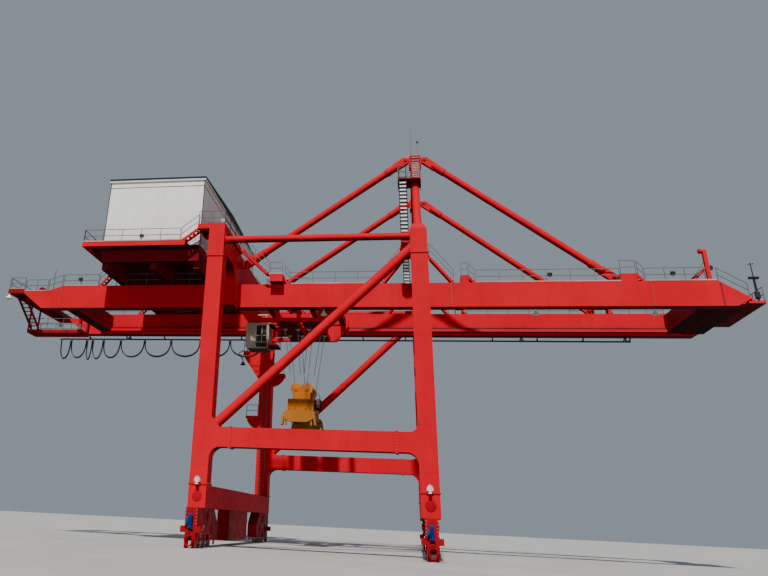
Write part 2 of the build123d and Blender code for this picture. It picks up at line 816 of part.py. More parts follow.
# Ladders up to the mast platforms, with square stiles and rungs
ladder_x = ws - ladder_offset
ladder_y = mast_y + mast_floor_width / 2 + ladder_bar / 2
ladder_top = mast_floor_height + floor_depth + rail_tall
with BuildPart() as ladders:
    for side in SIDES:
        y = side * ladder_y
        for edge in SIDES:
            x = ladder_x + edge * ladder_width / 2
            block(x - ladder_bar / 2, x + ladder_bar / 2, y - ladder_bar / 2, y + ladder_bar / 2,
                  cap_top, ladder_top)
        rungs = int((ladder_top - cap_top) / rung_pitch)
        for n in range(1, rungs + 1):
            z = cap_top + n * rung_pitch
            block(ladder_x - ladder_width / 2, ladder_x + ladder_width / 2, y - rail_bar / 2,
                  y + rail_bar / 2,
                  z - rail_bar / 2, z + rail_bar / 2)
save(ladders, "mast_ladder")

# Rods on the near mast head
rod_base = apex_height + apex_tall / 2
with BuildPart() as aerials:
    for x, tall in ((head_x - lug_radius, aerial_tall), (head_x + lug_radius, aerial_short)):
        block(x - aerial_side / 2, x + aerial_side / 2, -girder_half - aerial_side / 2,
              -girder_half + aerial_side / 2, rod_base, rod_base + tall)
save(aerials, "aerials")

# Tail platform, and a service floor hung under it that a gangway leads down to
tail_floor_top = girder_top - tail_floor_drop
tail_floor_under = tail_floor_top - deck_fascia
with BuildPart() as tail_deck:
    floor(tail_end, girder_tail, -girder_outer, girder_outer, tail_floor_top, deck_fascia)
save(tail_deck, "tail_platform")
hung_x1 = rail_start - hung_clear
hung_under = hung_top - floor_depth
with BuildPart() as hung:
    floor(tail_end, hung_x1, -hung_half, hung_half, hung_top)
    for side in SIDES:
        y = side * (hung_half - hanger_side / 2)
        for x, top in ((tail_end + hanger_side / 2, tail_floor_under),
                       (hung_x1 - hanger_side, girder_bottom + end_beam_clear)):
            block(x - hanger_side / 2, x + hanger_side / 2, y - hanger_side / 2, y + hanger_side / 2,
                  hung_under, top)
save(hung, "service_floor")
gangway_x = girder_tail - stair_width
gangway_low = -hung_half
gangway_high = -girder_inner
with BuildPart() as gangway:
    foot = Vector(gangway_x, gangway_low, hung_top)
    head = Vector(gangway_x, gangway_high, tail_floor_under)
    climb = (head - foot).normalized()
    for edge in SIDES:
        shift = Vector(edge * stair_width / 2, 0, 0)
        bar(foot - climb * stringer_depth + shift, head + climb * stringer_depth + shift, stringer_thickness,
            stringer_depth)
    steps = ceil((tail_floor_under - hung_top) / tread_rise)
    for n in range(1, steps):
        spot = foot + (head - foot) * (n / steps)
        block(gangway_x - stair_width / 2, gangway_x + stair_width / 2, spot.Y - tread_depth / 2,
              spot.Y + tread_depth / 2, spot.Z - tread_thickness, spot.Z)
    block(tail_end, hung_x1, gangway_low, hung_half, hung_under - floor_depth, tail_floor_top,
          mode=Mode.SUBTRACT)
    block(tail_end, hung_x1, -girder_outer, hung_half, tail_floor_under, tail_floor_top + floor_depth,
          mode=Mode.SUBTRACT)
save(gangway, "tail_gangway")

# Nose platform beyond the near girder, with a lamp post, and a davit on the near girder
floor_start = nose_end - nose_floor_long
with BuildPart() as nose_deck:
    block(floor_start, nose_end, -nose_floor_half, nose_floor_split, nose_floor_top - nose_floor_plate,
          nose_floor_top)
    block(girder_nose, girder_nose + hanger_side, -girder_outer, -girder_inner, nose_floor_top,
          nose_low + nose_tip)
save(nose_deck, "nose_platform")
post_x = (girder_nose + hanger_side + nose_end) / 2
post_y = hanger_side - girder_outer
with BuildPart() as lamp_post:
    lamp_z = nose_floor_top + lamp_post_tall
    block(post_x - lamp_post_side / 2, post_x + lamp_post_side / 2, post_y - lamp_post_side / 2,
          post_y + lamp_post_side / 2, nose_floor_top, lamp_z)
    block(post_x - lamp_head_long / 2, post_x + lamp_head_long / 2, post_y - lamp_post_side,
          post_y + lamp_post_side, lamp_z, lamp_z + lamp_head_plate)
    block(post_x - aerial_side / 2, post_x + aerial_side / 2, post_y - aerial_side / 2,
          post_y + aerial_side / 2,
          lamp_z + lamp_head_plate, lamp_z + lamp_head_plate + lamp_rod_tall)
save(lamp_post, "nose_lamp_post")
davit_x = ws + davit_place
with BuildPart() as davit:
    y = davit_side - girder_outer
    block(davit_x - davit_side / 2, davit_x + davit_side / 2, y - davit_side / 2, y + davit_side / 2,
          girder_top,
          girder_top + davit_tall)
    rod((davit_x - davit_arm, y, girder_top + davit_tall), (davit_x + davit_side / 2, y,
                                                            girder_top + davit_tall),
        davit_side / 2)
    rod((davit_x - davit_brace_run, y, girder_top - davit_side), (davit_x, y, girder_top + davit_brace_rise),
        davit_brace_radius)
    block(davit_x - 2 * davit_brace_run, davit_x + davit_side, y - davit_side, y + davit_side,
          girder_top - 2 * davit_side, girder_top, mode=Mode.SUBTRACT)
save(davit, "nose_davit")

# Boarding platform on the far landside leg, over a tapered box bracket, and two small landings below it
with BuildPart() as boarding:
    for face in (leg_inside - walk_width, leg_inside - strut_side):
        with BuildSketch(side_plane(face)):
            with BuildLine():
                Polyline(
                    (ls - boarding_left, boarding_top - boarding_edge),
                    (ls - boarding_left, boarding_top - floor_depth),
                    (ls + boarding_right, boarding_top - floor_depth),
                    (ls + boarding_right, boarding_top - boarding_edge),
                    (ls + leg_width / 2, boarding_throat),
                    (ls - leg_width / 2, boarding_throat),
                    close=True)
            make_face()
        extrude(amount=-boarding_plate)
    block(ls - leg_width / 2, ls + leg_width / 2, leg_inside - walk_width, leg_inside, boarding_throat,
          boarding_throat + strut_side)
    floor(ls - boarding_left, ls + boarding_right, leg_inside - walk_width, leg_inside, boarding_top)
save(boarding, "boarding_platform")
with BuildPart() as leg_landings:
    for toward, top in ((-1, landing_top), (1, landing_high)):
        face = ls + toward * leg_width / 2
        floor(face, face + toward * landing_reach, leg_line - walk_width / 2, leg_line + walk_width / 2, top)
        with BuildSketch(side_plane(leg_line)):
            with BuildLine():
                Line((face, top - floor_depth), (face + toward * landing_reach, top - floor_depth))
                RadiusArc((face + toward * landing_reach, top - floor_depth), (face, top - landing_reach),
                          toward * landing_reach * landing_curve)
                Line((face, top - landing_reach), (face, top - floor_depth))
            make_face()
        extrude(amount=boarding_plate / 2, both=True)
save(leg_landings, "leg_landings")

# Stair flights along the boom: (top X, top Z, foot X, foot Z, outer Y, inner Y)
FLIGHTS = []
for side in SIDES:
    span = (side * outer_stair_out, side * outer_stair_in)
    FLIGHTS.append((ls + leg_floor_right, leg_floor_top, landside_foot, landing_top_z, *span))
    span = (side * deck_y, side * (deck_y - stair_width))
    FLIGHTS.append((ls - leg_floor_left, leg_floor_top, house_x1 - deck_short - house_stair_foot,
                    deck_top, *span))
    span = (side * girder_outer, side * stair_edge)
    FLIGHTS.append((left_stair_x, waterside_floor, left_stair_x - waterside_run, girder_top, *span))
    FLIGHTS.append((right_stair_x, waterside_floor, right_stair_x + waterside_run, girder_top, *span))
    FLIGHTS.append((deck_x0 + deck_well, deck_top, deck_x0 + deck_well - house_stair_run, girder_top, *span))
    for x, long, y in LANDINGS:
        FLIGHTS.append((x + long, landing_top_z, x + long + short_run, girder_top, *span))
with BuildPart() as stringers:
    for top_x, top_z, foot_x, foot_z, outer, inner in FLIGHTS:
        back = stringer_depth * (foot_x - top_x) / (top_z - foot_z)
        inward = stringer_thickness / 2 if outer < inner else -stringer_thickness / 2
        for y in (outer + inward, inner - inward):
            with BuildSketch(side_plane(y)):
                with BuildLine():
                    Polyline((top_x, top_z), (foot_x, foot_z), (foot_x - back, foot_z),
                             (top_x, top_z - stringer_depth), close=True)
                make_face()
            extrude(amount=stringer_thickness / 2, both=True)
save(stringers, "stair_stringers")
with BuildPart() as treads:
    for top_x, top_z, foot_x, foot_z, outer, inner in FLIGHTS:
        steps = ceil((top_z - foot_z) / tread_rise)
        step = Vector((foot_x - top_x) / steps, 0, (foot_z - top_z) / steps)
        head = Vector(top_x, (outer + inner) / 2, top_z - tread_thickness / 2)
        with Locations(*[head + step * n for n in range(1, steps)]):
            Box(tread_depth, abs(outer - inner) - 2 * stringer_thickness, tread_thickness)
save(treads, "stair_treads")

# Handrails along the outer edge of each girder, broken at the cross beams, stairs and landings
rail_line_y = girder_outer - rail_inset
girder_runs = (
    (tail_ramp_end, girder_top, deck_x0 + deck_well - house_stair_run, girder_top),
    (deck_x0 + deck_well, girder_top, house_x0, girder_top),
    (house_x0 + joist_width, girder_top, house_mid, girder_top),
    (house_mid + joist_width, girder_top, house_x1 - joist_width, girder_top),
    (house_x1, girder_top, ls - cross_width / 2, girder_top),
    (LANDINGS[0][0] + landing_long + short_run, girder_top, left_stair_x - waterside_run, girder_top),
    (LANDINGS[1][0] + step_floor_long + short_run, girder_top, LANDINGS[2][0], girder_top),
    (LANDINGS[2][0] + lug_floor_long + short_run, girder_top, davit_x - davit_side, girder_top),
    (girder_tail, tail_high, girder_tail + tail_shelf, tail_high),
    (girder_tail + tail_shelf, tail_high, tail_ramp_end, girder_top),
    (nose_slope_start, girder_top, girder_nose, nose_low + nose_tip),
)
with BuildPart() as fence:
    add([railing((x0, side * rail_line_y, z0), (x1, side * rail_line_y, z1))
         for side in SIDES for x0, z0, x1, z1 in girder_runs])
save(fence, "girder_railings")

# Handrails round the raised floors, on both sides of the crane
runs = []
for side in SIDES:
    outer = side * (frame_half - rail_inset)
    inner = side * (leg_floor_inner + rail_inset)
    z = leg_floor_top
    x0, x1 = ls - cross_width / 2 + rail_inset, ls + leg_floor_right - rail_inset
    runs.append(railing((ls - leg_floor_left, outer, z), (ls + leg_floor_right, outer, z)))
    runs.append(railing((x1, outer - side * rail_inset, z), (x1, side * outer_stair_out, z)))
    runs.append(railing((x0, side * leg_floor_inner, z), (x0, side * outer_stair_in, z)))
    runs.append(railing((ls - leg_floor_left, inner, z), (ls - cross_width / 2, inner, z)))
    y = side * (outer_stair_out - rail_inset)
    x = LANDINGS[0][0]
    runs.append(railing((x, y, landing_top_z), (x + landing_long, y, landing_top_z)))
    y = side * rail_line_y
    for x, long, edge in LANDINGS[1:]:
        runs.append(railing((x, y, landing_top_z), (x + long, y, landing_top_z)))
    runs.append(railing((left_stair_x, y, waterside_floor), (right_stair_x, y, waterside_floor)))
    z = mast_floor_height + floor_depth
    out = mast_y + mast_floor_width / 2
    back = mast_y - mast_floor_width / 2 + rail_inset
    x0, x1 = ws - mast_floor_left, ws + mast_floor_right
    runs.append(railing((x0, side * back, z), (ws - mast_radius - rail_inset, side * back, z)))
    for x in (x0 + rail_inset, x1 - rail_inset):
        runs.append(railing((x, side * (back + rail_inset), z), (x, side * out, z)))
    runs.append(railing((ladder_x + ladder_width / 2 + ladder_bar, side * (out - rail_inset), z),
                        (x1 - 2 * rail_inset, side * (out - rail_inset), z)))
    z = tail_floor_top
    runs.append(railing((tail_end + 2 * rail_inset, y, z), (girder_tail, y, z)))
    y = side * (hung_half - rail_inset)
    runs.append(railing((tail_end + 2 * hanger_side, y, hung_top), (hung_x1 - 2 * hanger_side, y, hung_top)))

# Handrails on the tail, the nose, the boarding platform and the leg landings
x = tail_end + rail_inset
runs.append(railing((x, -girder_outer, tail_floor_top), (x, girder_outer, tail_floor_top)))
x = nose_end - rail_inset
runs.append(railing((x, -nose_floor_half, nose_floor_top), (x, nose_floor_split, nose_floor_top)))
y = leg_inside - walk_width + rail_inset
runs.append(railing((ls - boarding_left, y, boarding_top), (ls + boarding_right, y, boarding_top)))
y = leg_line - walk_width / 2 + rail_inset
for toward, z in ((-1, landing_top), (1, landing_high)):
    x = ls + toward * leg_width / 2
    runs.append(railing((x, y, z), (x + toward * landing_reach, y, z)))
with BuildPart() as fences:
    add(runs)
save(fences, "platform_railings")

# Handrails round the house deck
deck_runs = []
x = deck_x0 + rail_inset
edge = deck_y - rail_inset
for side in SIDES:
    deck_runs.append(railing((deck_x0, side * edge, deck_top),
                             (house_x1 - deck_short - house_stair_foot, side * edge, deck_top)))
for y0, y1 in ((-edge, -girder_outer), (-stair_edge, stair_edge), (girder_outer, edge)):
    deck_runs.append(railing((x, y0 + rail_inset, deck_top), (x, y1 - rail_inset, deck_top)))
with BuildPart() as deck_fence:
    add(deck_runs)
save(deck_fence, "house_railing")

# Handrails beside the stair flights, on the outer stringers
stair_runs = []
for top_x, top_z, foot_x, foot_z, outer, inner in FLIGHTS:
    y = outer + (stringer_thickness / 2 if outer < inner else -stringer_thickness / 2)
    stair_runs.append(railing((top_x, y, top_z), (foot_x, y, foot_z)))
with BuildPart() as stair_fence:
    add(stair_runs)
save(stair_fence, "stair_railings")

# Floodlights on the leg feet and lamps under the girders, as eight-sided shades
with BuildPart() as lamps:
    for x in (ls, ws):
        for side in SIDES:
            y = side * (frame_half + flange_lip + lamp_radius)
            with BuildSketch(Plane.XY.offset(sill_top)):
                with Locations((x, y)):
                    RegularPolygon(lamp_radius, LAMP_SIDES)
            extrude(amount=lamp_height)
    for side in SIDES:
        y = side * (girder_inner + lamp_radius)
        for x in (back_lamp, mid_lamp, front_lamp):
            with BuildSketch(Plane.XY.offset(girder_bottom - lamp_height)):
                with Locations((ws + x, y)):
                    RegularPolygon(lamp_radius, LAMP_SIDES)
            with BuildSketch(Plane.XY.offset(girder_bottom)):
                with Locations((ws + x, y)):
                    RegularPolygon(lamp_neck, LAMP_SIDES)
            loft(ruled=True)
save(lamps, "work_lamps")

# Cable track on arms outside the far girder, with the loops of the trolley cable hung from it
track_y = girder_outer + track_reach
track_top = girder_bottom - track_drop + track_side
track_x0 = ls - track_tail
with BuildPart() as track:
    block(track_x0, ws + track_nose, track_y - track_side / 2, track_y + track_side / 2,
          girder_bottom - track_drop, track_top)
    arms = ceil((track_nose + gauge + track_tail - tail_gap - tail_cut) / hook_pitch)
    arm_start = girder_tail + tail_cut + arm_side
    for n in range(arms):
        x = arm_start + (ws + track_nose - arm_side - arm_start) * n / (arms - 1)
        clear = min(abs(x - spot) for spot in (ls, ws)) > cross_width
        off_strap = min(abs(x - spot) for spot in strap_places) > splice_strap
        if clear and off_strap:
            block(x - arm_side / 2, x + arm_side / 2, girder_outer, track_y + track_side / 2, track_top,
                  track_top + arm_side)
            block(x - arm_side / 2, x + arm_side / 2, girder_outer, girder_outer + arm_side, track_top,
                  girder_bottom + arm_side)
save(track, "festoon_track")
with BuildPart() as loops:
    hang = girder_bottom - track_drop
    half = loop_long / 2 - loop_radius - joint_gap
    low = hang - loop_drop + loop_radius
    for n in range(loop_count):
        x = track_x0 + loop_long * (n + 0.5)
        for end in SIDES:
            bar((x + end * half, track_y, hang), (x + end * half * loop_belly, track_y, low), 2 * loop_radius,
                2 * loop_radius)
        bar((x - half * loop_belly - loop_radius, track_y, low), (x + half * loop_belly + loop_radius,
                                                                  track_y, low),
            2 * loop_radius, 2 * loop_radius)
    block(track_x0 - loop_long, ws, track_y - track_side, track_y + track_side, hang, hang + loop_drop,
          mode=Mode.SUBTRACT)
save(loops, "festoon_cables")

# Trolley frame: two deep side frames with open bays, raked at the ends, and beams between them
trolley_x = ws - trolley_place
frame_out = girder_inner - ledge_reach - trolley_clear
frame_in = frame_out - trolley_side
half_long = trolley_length / 2
hoist_x = ws - hoist_place
with BuildPart() as frame:
    for side in SIDES:
        with BuildSketch(side_plane(side * (frame_out + frame_in) / 2)):
            with BuildLine():
                Polyline(
                    (trolley_x - half_long, trolley_top),
                    (trolley_x + half_long, trolley_top),
                    (trolley_x + half_long, trolley_top - trolley_shoulder),
                    (trolley_x + half_long - trolley_rake, trolley_bottom),
                    (trolley_x - half_long + trolley_rake, trolley_bottom),
                    (trolley_x - half_long, trolley_top - trolley_shoulder),
                    close=True)
            make_face()
            with Locations((trolley_x, trolley_bottom + bay_margin + bay_height / 2)):
                with GridLocations(trolley_bay, 0, bays, 1):
                    Rectangle(trolley_bay - bay_margin, bay_height, mode=Mode.SUBTRACT)
        extrude(amount=trolley_side / 2, both=True)
    for x in (trolley_x - half_long + tie_width, trolley_x - trolley_bay, trolley_x + trolley_bay,
              trolley_x + half_long - tie_width):
        block(x - tie_width / 2, x + tie_width / 2, -frame_in, frame_in, trolley_top - trolley_shoulder,
              trolley_top)
    for x in (hoist_x - hoist_beam_gap / 2 - hoist_beam_long, hoist_x + hoist_beam_gap / 2):
        block(x, x + hoist_beam_long, -frame_in, frame_in, trolley_bottom, trolley_bottom + hoist_beam_depth)
save(frame, "trolley_frame")
axle = rail_top + joint_gap + trolley_wheel_radius
with BuildPart() as rollers:
    for side in SIDES:
        for end in SIDES:
            x = trolley_x + end * (half_long - trolley_wheel_inset)
            rod((x, side * frame_out, axle), (x, side * (rail_line + wheel_tread / 2), axle),
                trolley_wheel_radius)
save(rollers, "trolley_wheels")

# Operator cab: a shell with rounded lower edges, open window frames and hangers, with glass set in
cab_x0 = ws - cab_place
cab_x1 = cab_x0 + cab_length
cab_top = cab_bottom + cab_height
glass_x = cab_x0 + cab_blind
sill_z = cab_bottom + cab_sill
head_z = cab_top - cab_lintel
with BuildPart() as cab:
    with BuildSketch(side_plane(0)):
        with Locations(((cab_x0 + cab_x1) / 2, (cab_bottom + cab_top) / 2)):
            Rectangle(cab_length, cab_height)
    extrude(amount=cab_width / 2, both=True)
    fillet(cab.edges().filter_by(Axis.Y).group_by(Axis.Z)[0], cab_corner)
    block(cab_x0 + cab_wall, cab_x1 - cab_wall, cab_wall - cab_width / 2, cab_width / 2 - cab_wall,
          cab_bottom + cab_corner, cab_top - cab_wall, mode=Mode.SUBTRACT)
    block(glass_x, cab_x1 - cab_frame, -cab_width, cab_width, sill_z, head_z, mode=Mode.SUBTRACT)
    block(cab_x1 - 2 * cab_wall, cab_x1 + cab_wall, cab_frame - cab_width / 2,
          cab_width / 2 - cab_frame, sill_z,
          head_z, mode=Mode.SUBTRACT)
    for x in (cab_x0 + cab_hanger, cab_x1 - cab_hanger):
        for side in SIDES:
            y = side * (cab_width / 2 - cab_hanger)
            block(x - cab_frame / 2, x + cab_frame / 2, y - cab_frame / 2, y + cab_frame / 2, cab_top,
                  trolley_top - trolley_shoulder)
    for side in SIDES:
        y = side * (cab_width / 2 - cab_hanger)
        block(cab_x0, cab_x1, y - cab_frame / 2, y + cab_frame / 2,
              trolley_top - trolley_shoulder - cab_frame,
              trolley_top - trolley_shoulder)
save(cab, "operator_cab")
with BuildPart() as glass:
    for side in SIDES:
        y0 = side * (cab_width / 2 - cab_pane)
        block(glass_x + joint_gap, cab_x1 - cab_frame - joint_gap, y0, y0 - side * cab_pane / 2,
              sill_z + joint_gap,
              head_z - joint_gap)
    block(cab_x1 - cab_pane, cab_x1 - cab_pane / 2, cab_frame - cab_width / 2 + joint_gap,
          cab_width / 2 - cab_frame - joint_gap, sill_z + joint_gap, head_z - joint_gap)
save(glass, "cab_glazing")
with BuildPart() as balcony:
    z = cab_bottom + cab_corner + balcony_depth
    floor(cab_x1, cab_x1 + balcony_long, -cab_width / 2, cab_width / 2, z, balcony_depth)
    edge = cab_width / 2 - rail_inset
    x = cab_x1 + balcony_long - rail_inset
    add([railing((cab_x1, side * edge, z), (x - rail_inset, side * edge, z)) for side in SIDES])
    add(railing((x, -cab_width / 2, z), (x, cab_width / 2, z)))
save(balcony, "cab_balcony")

# Head block: twin-lobed sheave housings over a box body, with a sheave in each lobe
body_top = neck_bottom
with BuildPart() as head:
    for side in SIDES:
        with BuildSketch(side_plane(side * rope_spread)):
            for lobe in SIDES:
                with Locations((hoist_x + lobe * lobe_offset, lobe_height)):
                    Circle(lobe_radius)
            with Locations((hoist_x, (lobe_height + body_top) / 2)):
                Rectangle(2 * neck_half, lobe_height - body_top)
        extrude(amount=housing_thickness / 2, both=True)
        block(hoist_x - lobe_offset - lobe_radius, hoist_x + lobe_offset + lobe_radius,
              side * rope_spread - slot_width / 2, side * rope_spread + slot_width / 2, slot_floor,
              lobe_height + lobe_radius, mode=Mode.SUBTRACT)
    block(hoist_x - block_half, hoist_x + block_half, -block_long, block_long, block_bottom, body_top)
    block(hoist_x - block_window, hoist_x + block_window, rope_spread / 2 - block_long,
          block_long - rope_spread / 2,
          block_bottom + block_window / 2, body_top - block_window / 2, mode=Mode.SUBTRACT)
save(head, "head_block")
with BuildPart() as sheaves:
    for side in SIDES:
        for lobe in SIDES:
            x = hoist_x + lobe * lobe_offset
            y = side * rope_spread
            for half, radius in ((sheave_thickness / 2, sheave_radius), (slot_width / 2, pin_radius)):
                rod((x, y - half, lobe_height), (x, y + half, lobe_height), radius)
save(sheaves, "block_sheaves")

# Hoist ropes: four falls on each side, square in section, from the trolley to the sheave sides
rope_tilt = atan2(fall_inner, trolley_bottom - lobe_height)
rope_reach = (sheave_radius + rope_side / 2 + joint_gap) / cos(rope_tilt)
rope_near = lobe_offset - rope_reach
rope_far = lobe_offset + rope_reach
with BuildPart() as ropes:
    for side in SIDES:
        y = side * rope_spread
        for end in SIDES:
            for low, high in ((rope_near, fall_inner), (rope_far, fall_spread)):
                bar((hoist_x + end * low, y, lobe_height), (hoist_x + end * high, y,
                                                            trolley_bottom + rope_side),
                    rope_side, rope_side)
    block(hoist_x - 2 * fall_spread, hoist_x + 2 * fall_spread, -2 * rope_spread, 2 * rope_spread,
          trolley_bottom - joint_gap, trolley_bottom + M, mode=Mode.SUBTRACT)
save(ropes, "hoist_ropes")

# Spreader: a centre frame, a main beam along the container, end beams with corner flippers and twistlocks
spreader_low = spreader_top - spreader_depth
with BuildPart() as spreader:
    block(hoist_x - block_half, hoist_x + block_half, -block_long, block_long, spreader_top, block_bottom)
    for beam in SIDES:
        x = hoist_x + beam * (block_half - spreader_beam / 2)
        block(x - spreader_beam / 2, x + spreader_beam / 2, -spreader_half, spreader_half,
              spreader_top - spreader_beam, spreader_top)
    half = spreader_width / 2
    for side in SIDES:
        with BuildSketch(side_plane(side * (spreader_half - end_beam_side / 2))):
            with BuildLine():
                Polyline(
                    (hoist_x - half, spreader_top),
                    (hoist_x + half, spreader_top),
                    (hoist_x + half, spreader_low + end_beam_side / 2),
                    (hoist_x + half - end_beam_side, spreader_low),
                    (hoist_x - half + end_beam_side, spreader_low),
                    (hoist_x - half, spreader_low + end_beam_side / 2),
                    close=True)
            make_face()
        extrude(amount=end_beam_side / 2, both=True)
        for end in SIDES:
            x0 = hoist_x + end * half
            y0 = side * (spreader_half - end_beam_side)
            y1 = side * (spreader_half - end_beam_side + flipper_length)
            with BuildSketch(side_plane(side * (spreader_half - end_beam_side / 2))):
                with BuildLine():
                    Polyline(
                        (x0, spreader_top - flipper_thickness),
                        (x0 + end * flipper_thickness, spreader_top - flipper_thickness),
                        (x0 + end * 3 * flipper_thickness, spreader_low - flipper_drop + end_beam_side),
                        (x0 + end * flipper_thickness, spreader_low - flipper_drop + end_beam_side),
                        (x0, spreader_low + end_beam_side),
                        close=True)
                make_face()
            extrude(amount=flipper_length / 2, both=True)
            x = hoist_x + end * (half - twistlock_side)
            y = side * (spreader_half - twistlock_side)
            block(x - twistlock_side / 2, x + twistlock_side / 2, y - twistlock_side / 2,
                  y + twistlock_side / 2,
                  spreader_low - twistlock_drop, spreader_low + end_beam_side / 2)
save(spreader, "spreader")
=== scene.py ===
import math
from itertools import accumulate

import bmesh
import bpy
from mathutils import Matrix, Vector


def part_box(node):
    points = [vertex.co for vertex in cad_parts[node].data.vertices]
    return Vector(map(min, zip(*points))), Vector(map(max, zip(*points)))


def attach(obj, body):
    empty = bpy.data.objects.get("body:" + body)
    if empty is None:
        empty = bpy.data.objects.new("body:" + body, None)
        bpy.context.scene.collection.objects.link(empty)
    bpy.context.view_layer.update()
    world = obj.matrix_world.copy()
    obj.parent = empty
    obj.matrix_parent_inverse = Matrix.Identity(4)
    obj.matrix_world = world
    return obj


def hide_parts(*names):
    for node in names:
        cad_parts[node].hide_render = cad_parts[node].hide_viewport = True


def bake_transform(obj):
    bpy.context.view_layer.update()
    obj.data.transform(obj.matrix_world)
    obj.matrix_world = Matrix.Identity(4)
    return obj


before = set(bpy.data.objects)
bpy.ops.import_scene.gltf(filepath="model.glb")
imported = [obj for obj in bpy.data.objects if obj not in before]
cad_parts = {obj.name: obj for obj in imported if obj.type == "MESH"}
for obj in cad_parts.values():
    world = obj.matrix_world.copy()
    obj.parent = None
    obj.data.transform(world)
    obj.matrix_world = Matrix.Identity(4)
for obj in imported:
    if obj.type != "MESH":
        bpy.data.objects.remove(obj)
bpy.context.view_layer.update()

# One metre of the real crane in metres of the model, and the two rails read from the wheels
M = 0.5
WHEEL_HALF = 0.1 * M
wheels_low, wheels_high = (Vector(corner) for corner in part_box("travel_wheels"))
WS = wheels_high.x - WHEEL_HALF
LS = wheels_low.x + WHEEL_HALF
GAUGE = (WS - LS) / M
RAILS = (-GAUGE, 0.0)
SIDES = (-1, 1)
UP = Vector((0, 0, 1))
CORNERS = [(rail, side) for rail in RAILS for side in SIDES]

# Real sizes that many pieces share, in metres of the real crane. Radii, profiles, bolts and rounded edges
# are in metres of the model
LEG_LINE = 12.0
LEG_HALF_X = 0.65
LEG_HALF_Y = 0.6
FRAME_HALF = 12.6
FLANGE_LIP = 0.06
FLANGE_HALF = 0.04
GIRDER_HALF = 5.2
GIRDER_OUT = 5.72
GIRDER_IN = 4.68
GIRDER_LOW = 18.46
GIRDER_TOP = 20.5
MAST_FOOT = 22.85
APEX = 31.9
LEG_LEVELS = (4.05, 20.9)
HOUSE_FLOOR = 22.45
TAIL_END = -37.4
TAIL_FLOOR = 20.26


def at(x, y, z):
    """A place given in real metres: X from the waterside rail, Y along the quay, Z above the rails."""
    return Vector((WS + x * M, y * M, z * M))


def about(middle, half):
    """The range that reaches as far to both sides of a middle."""
    return (middle - half, middle + half)


def placed(name, data):
    """Make an object of some data and put it in the scene."""
    made = bpy.data.objects.new(name, data)
    bpy.context.collection.objects.link(made)
    return made


# Camera at the photograph's place
CAMERA_YAW, CAMERA_PITCH, CAMERA_ROLL = 0.2035, 0.4411, 0.0494
CAMERA_PLACE = at(-0.9238, -68.1744, 1.9835)
FOCAL_PIXELS = 750.36
SHIFT_PIXELS = (120.2, -123.52)
PHOTO_WIDTH = 768.0
camera_data = bpy.data.cameras.new("photo_camera")
camera = placed("photo_camera", camera_data)
stand = Matrix.Translation(CAMERA_PLACE)
for angle, axis in ((CAMERA_YAW, "Z"), (math.pi / 2 + CAMERA_PITCH, "X"), (CAMERA_ROLL, "Z")):
    stand = stand @ Matrix.Rotation(angle, 4, axis)
camera.matrix_world = stand
camera_data.sensor_fit = "HORIZONTAL"
camera_data.sensor_width = 36.0
camera_data.lens = camera_data.sensor_width * FOCAL_PIXELS / PHOTO_WIDTH
camera_data.shift_x = SHIFT_PIXELS[0] / PHOTO_WIDTH
camera_data.shift_y = SHIFT_PIXELS[1] / PHOTO_WIDTH
camera_data.clip_end = 500.0
bpy.context.scene.camera = camera


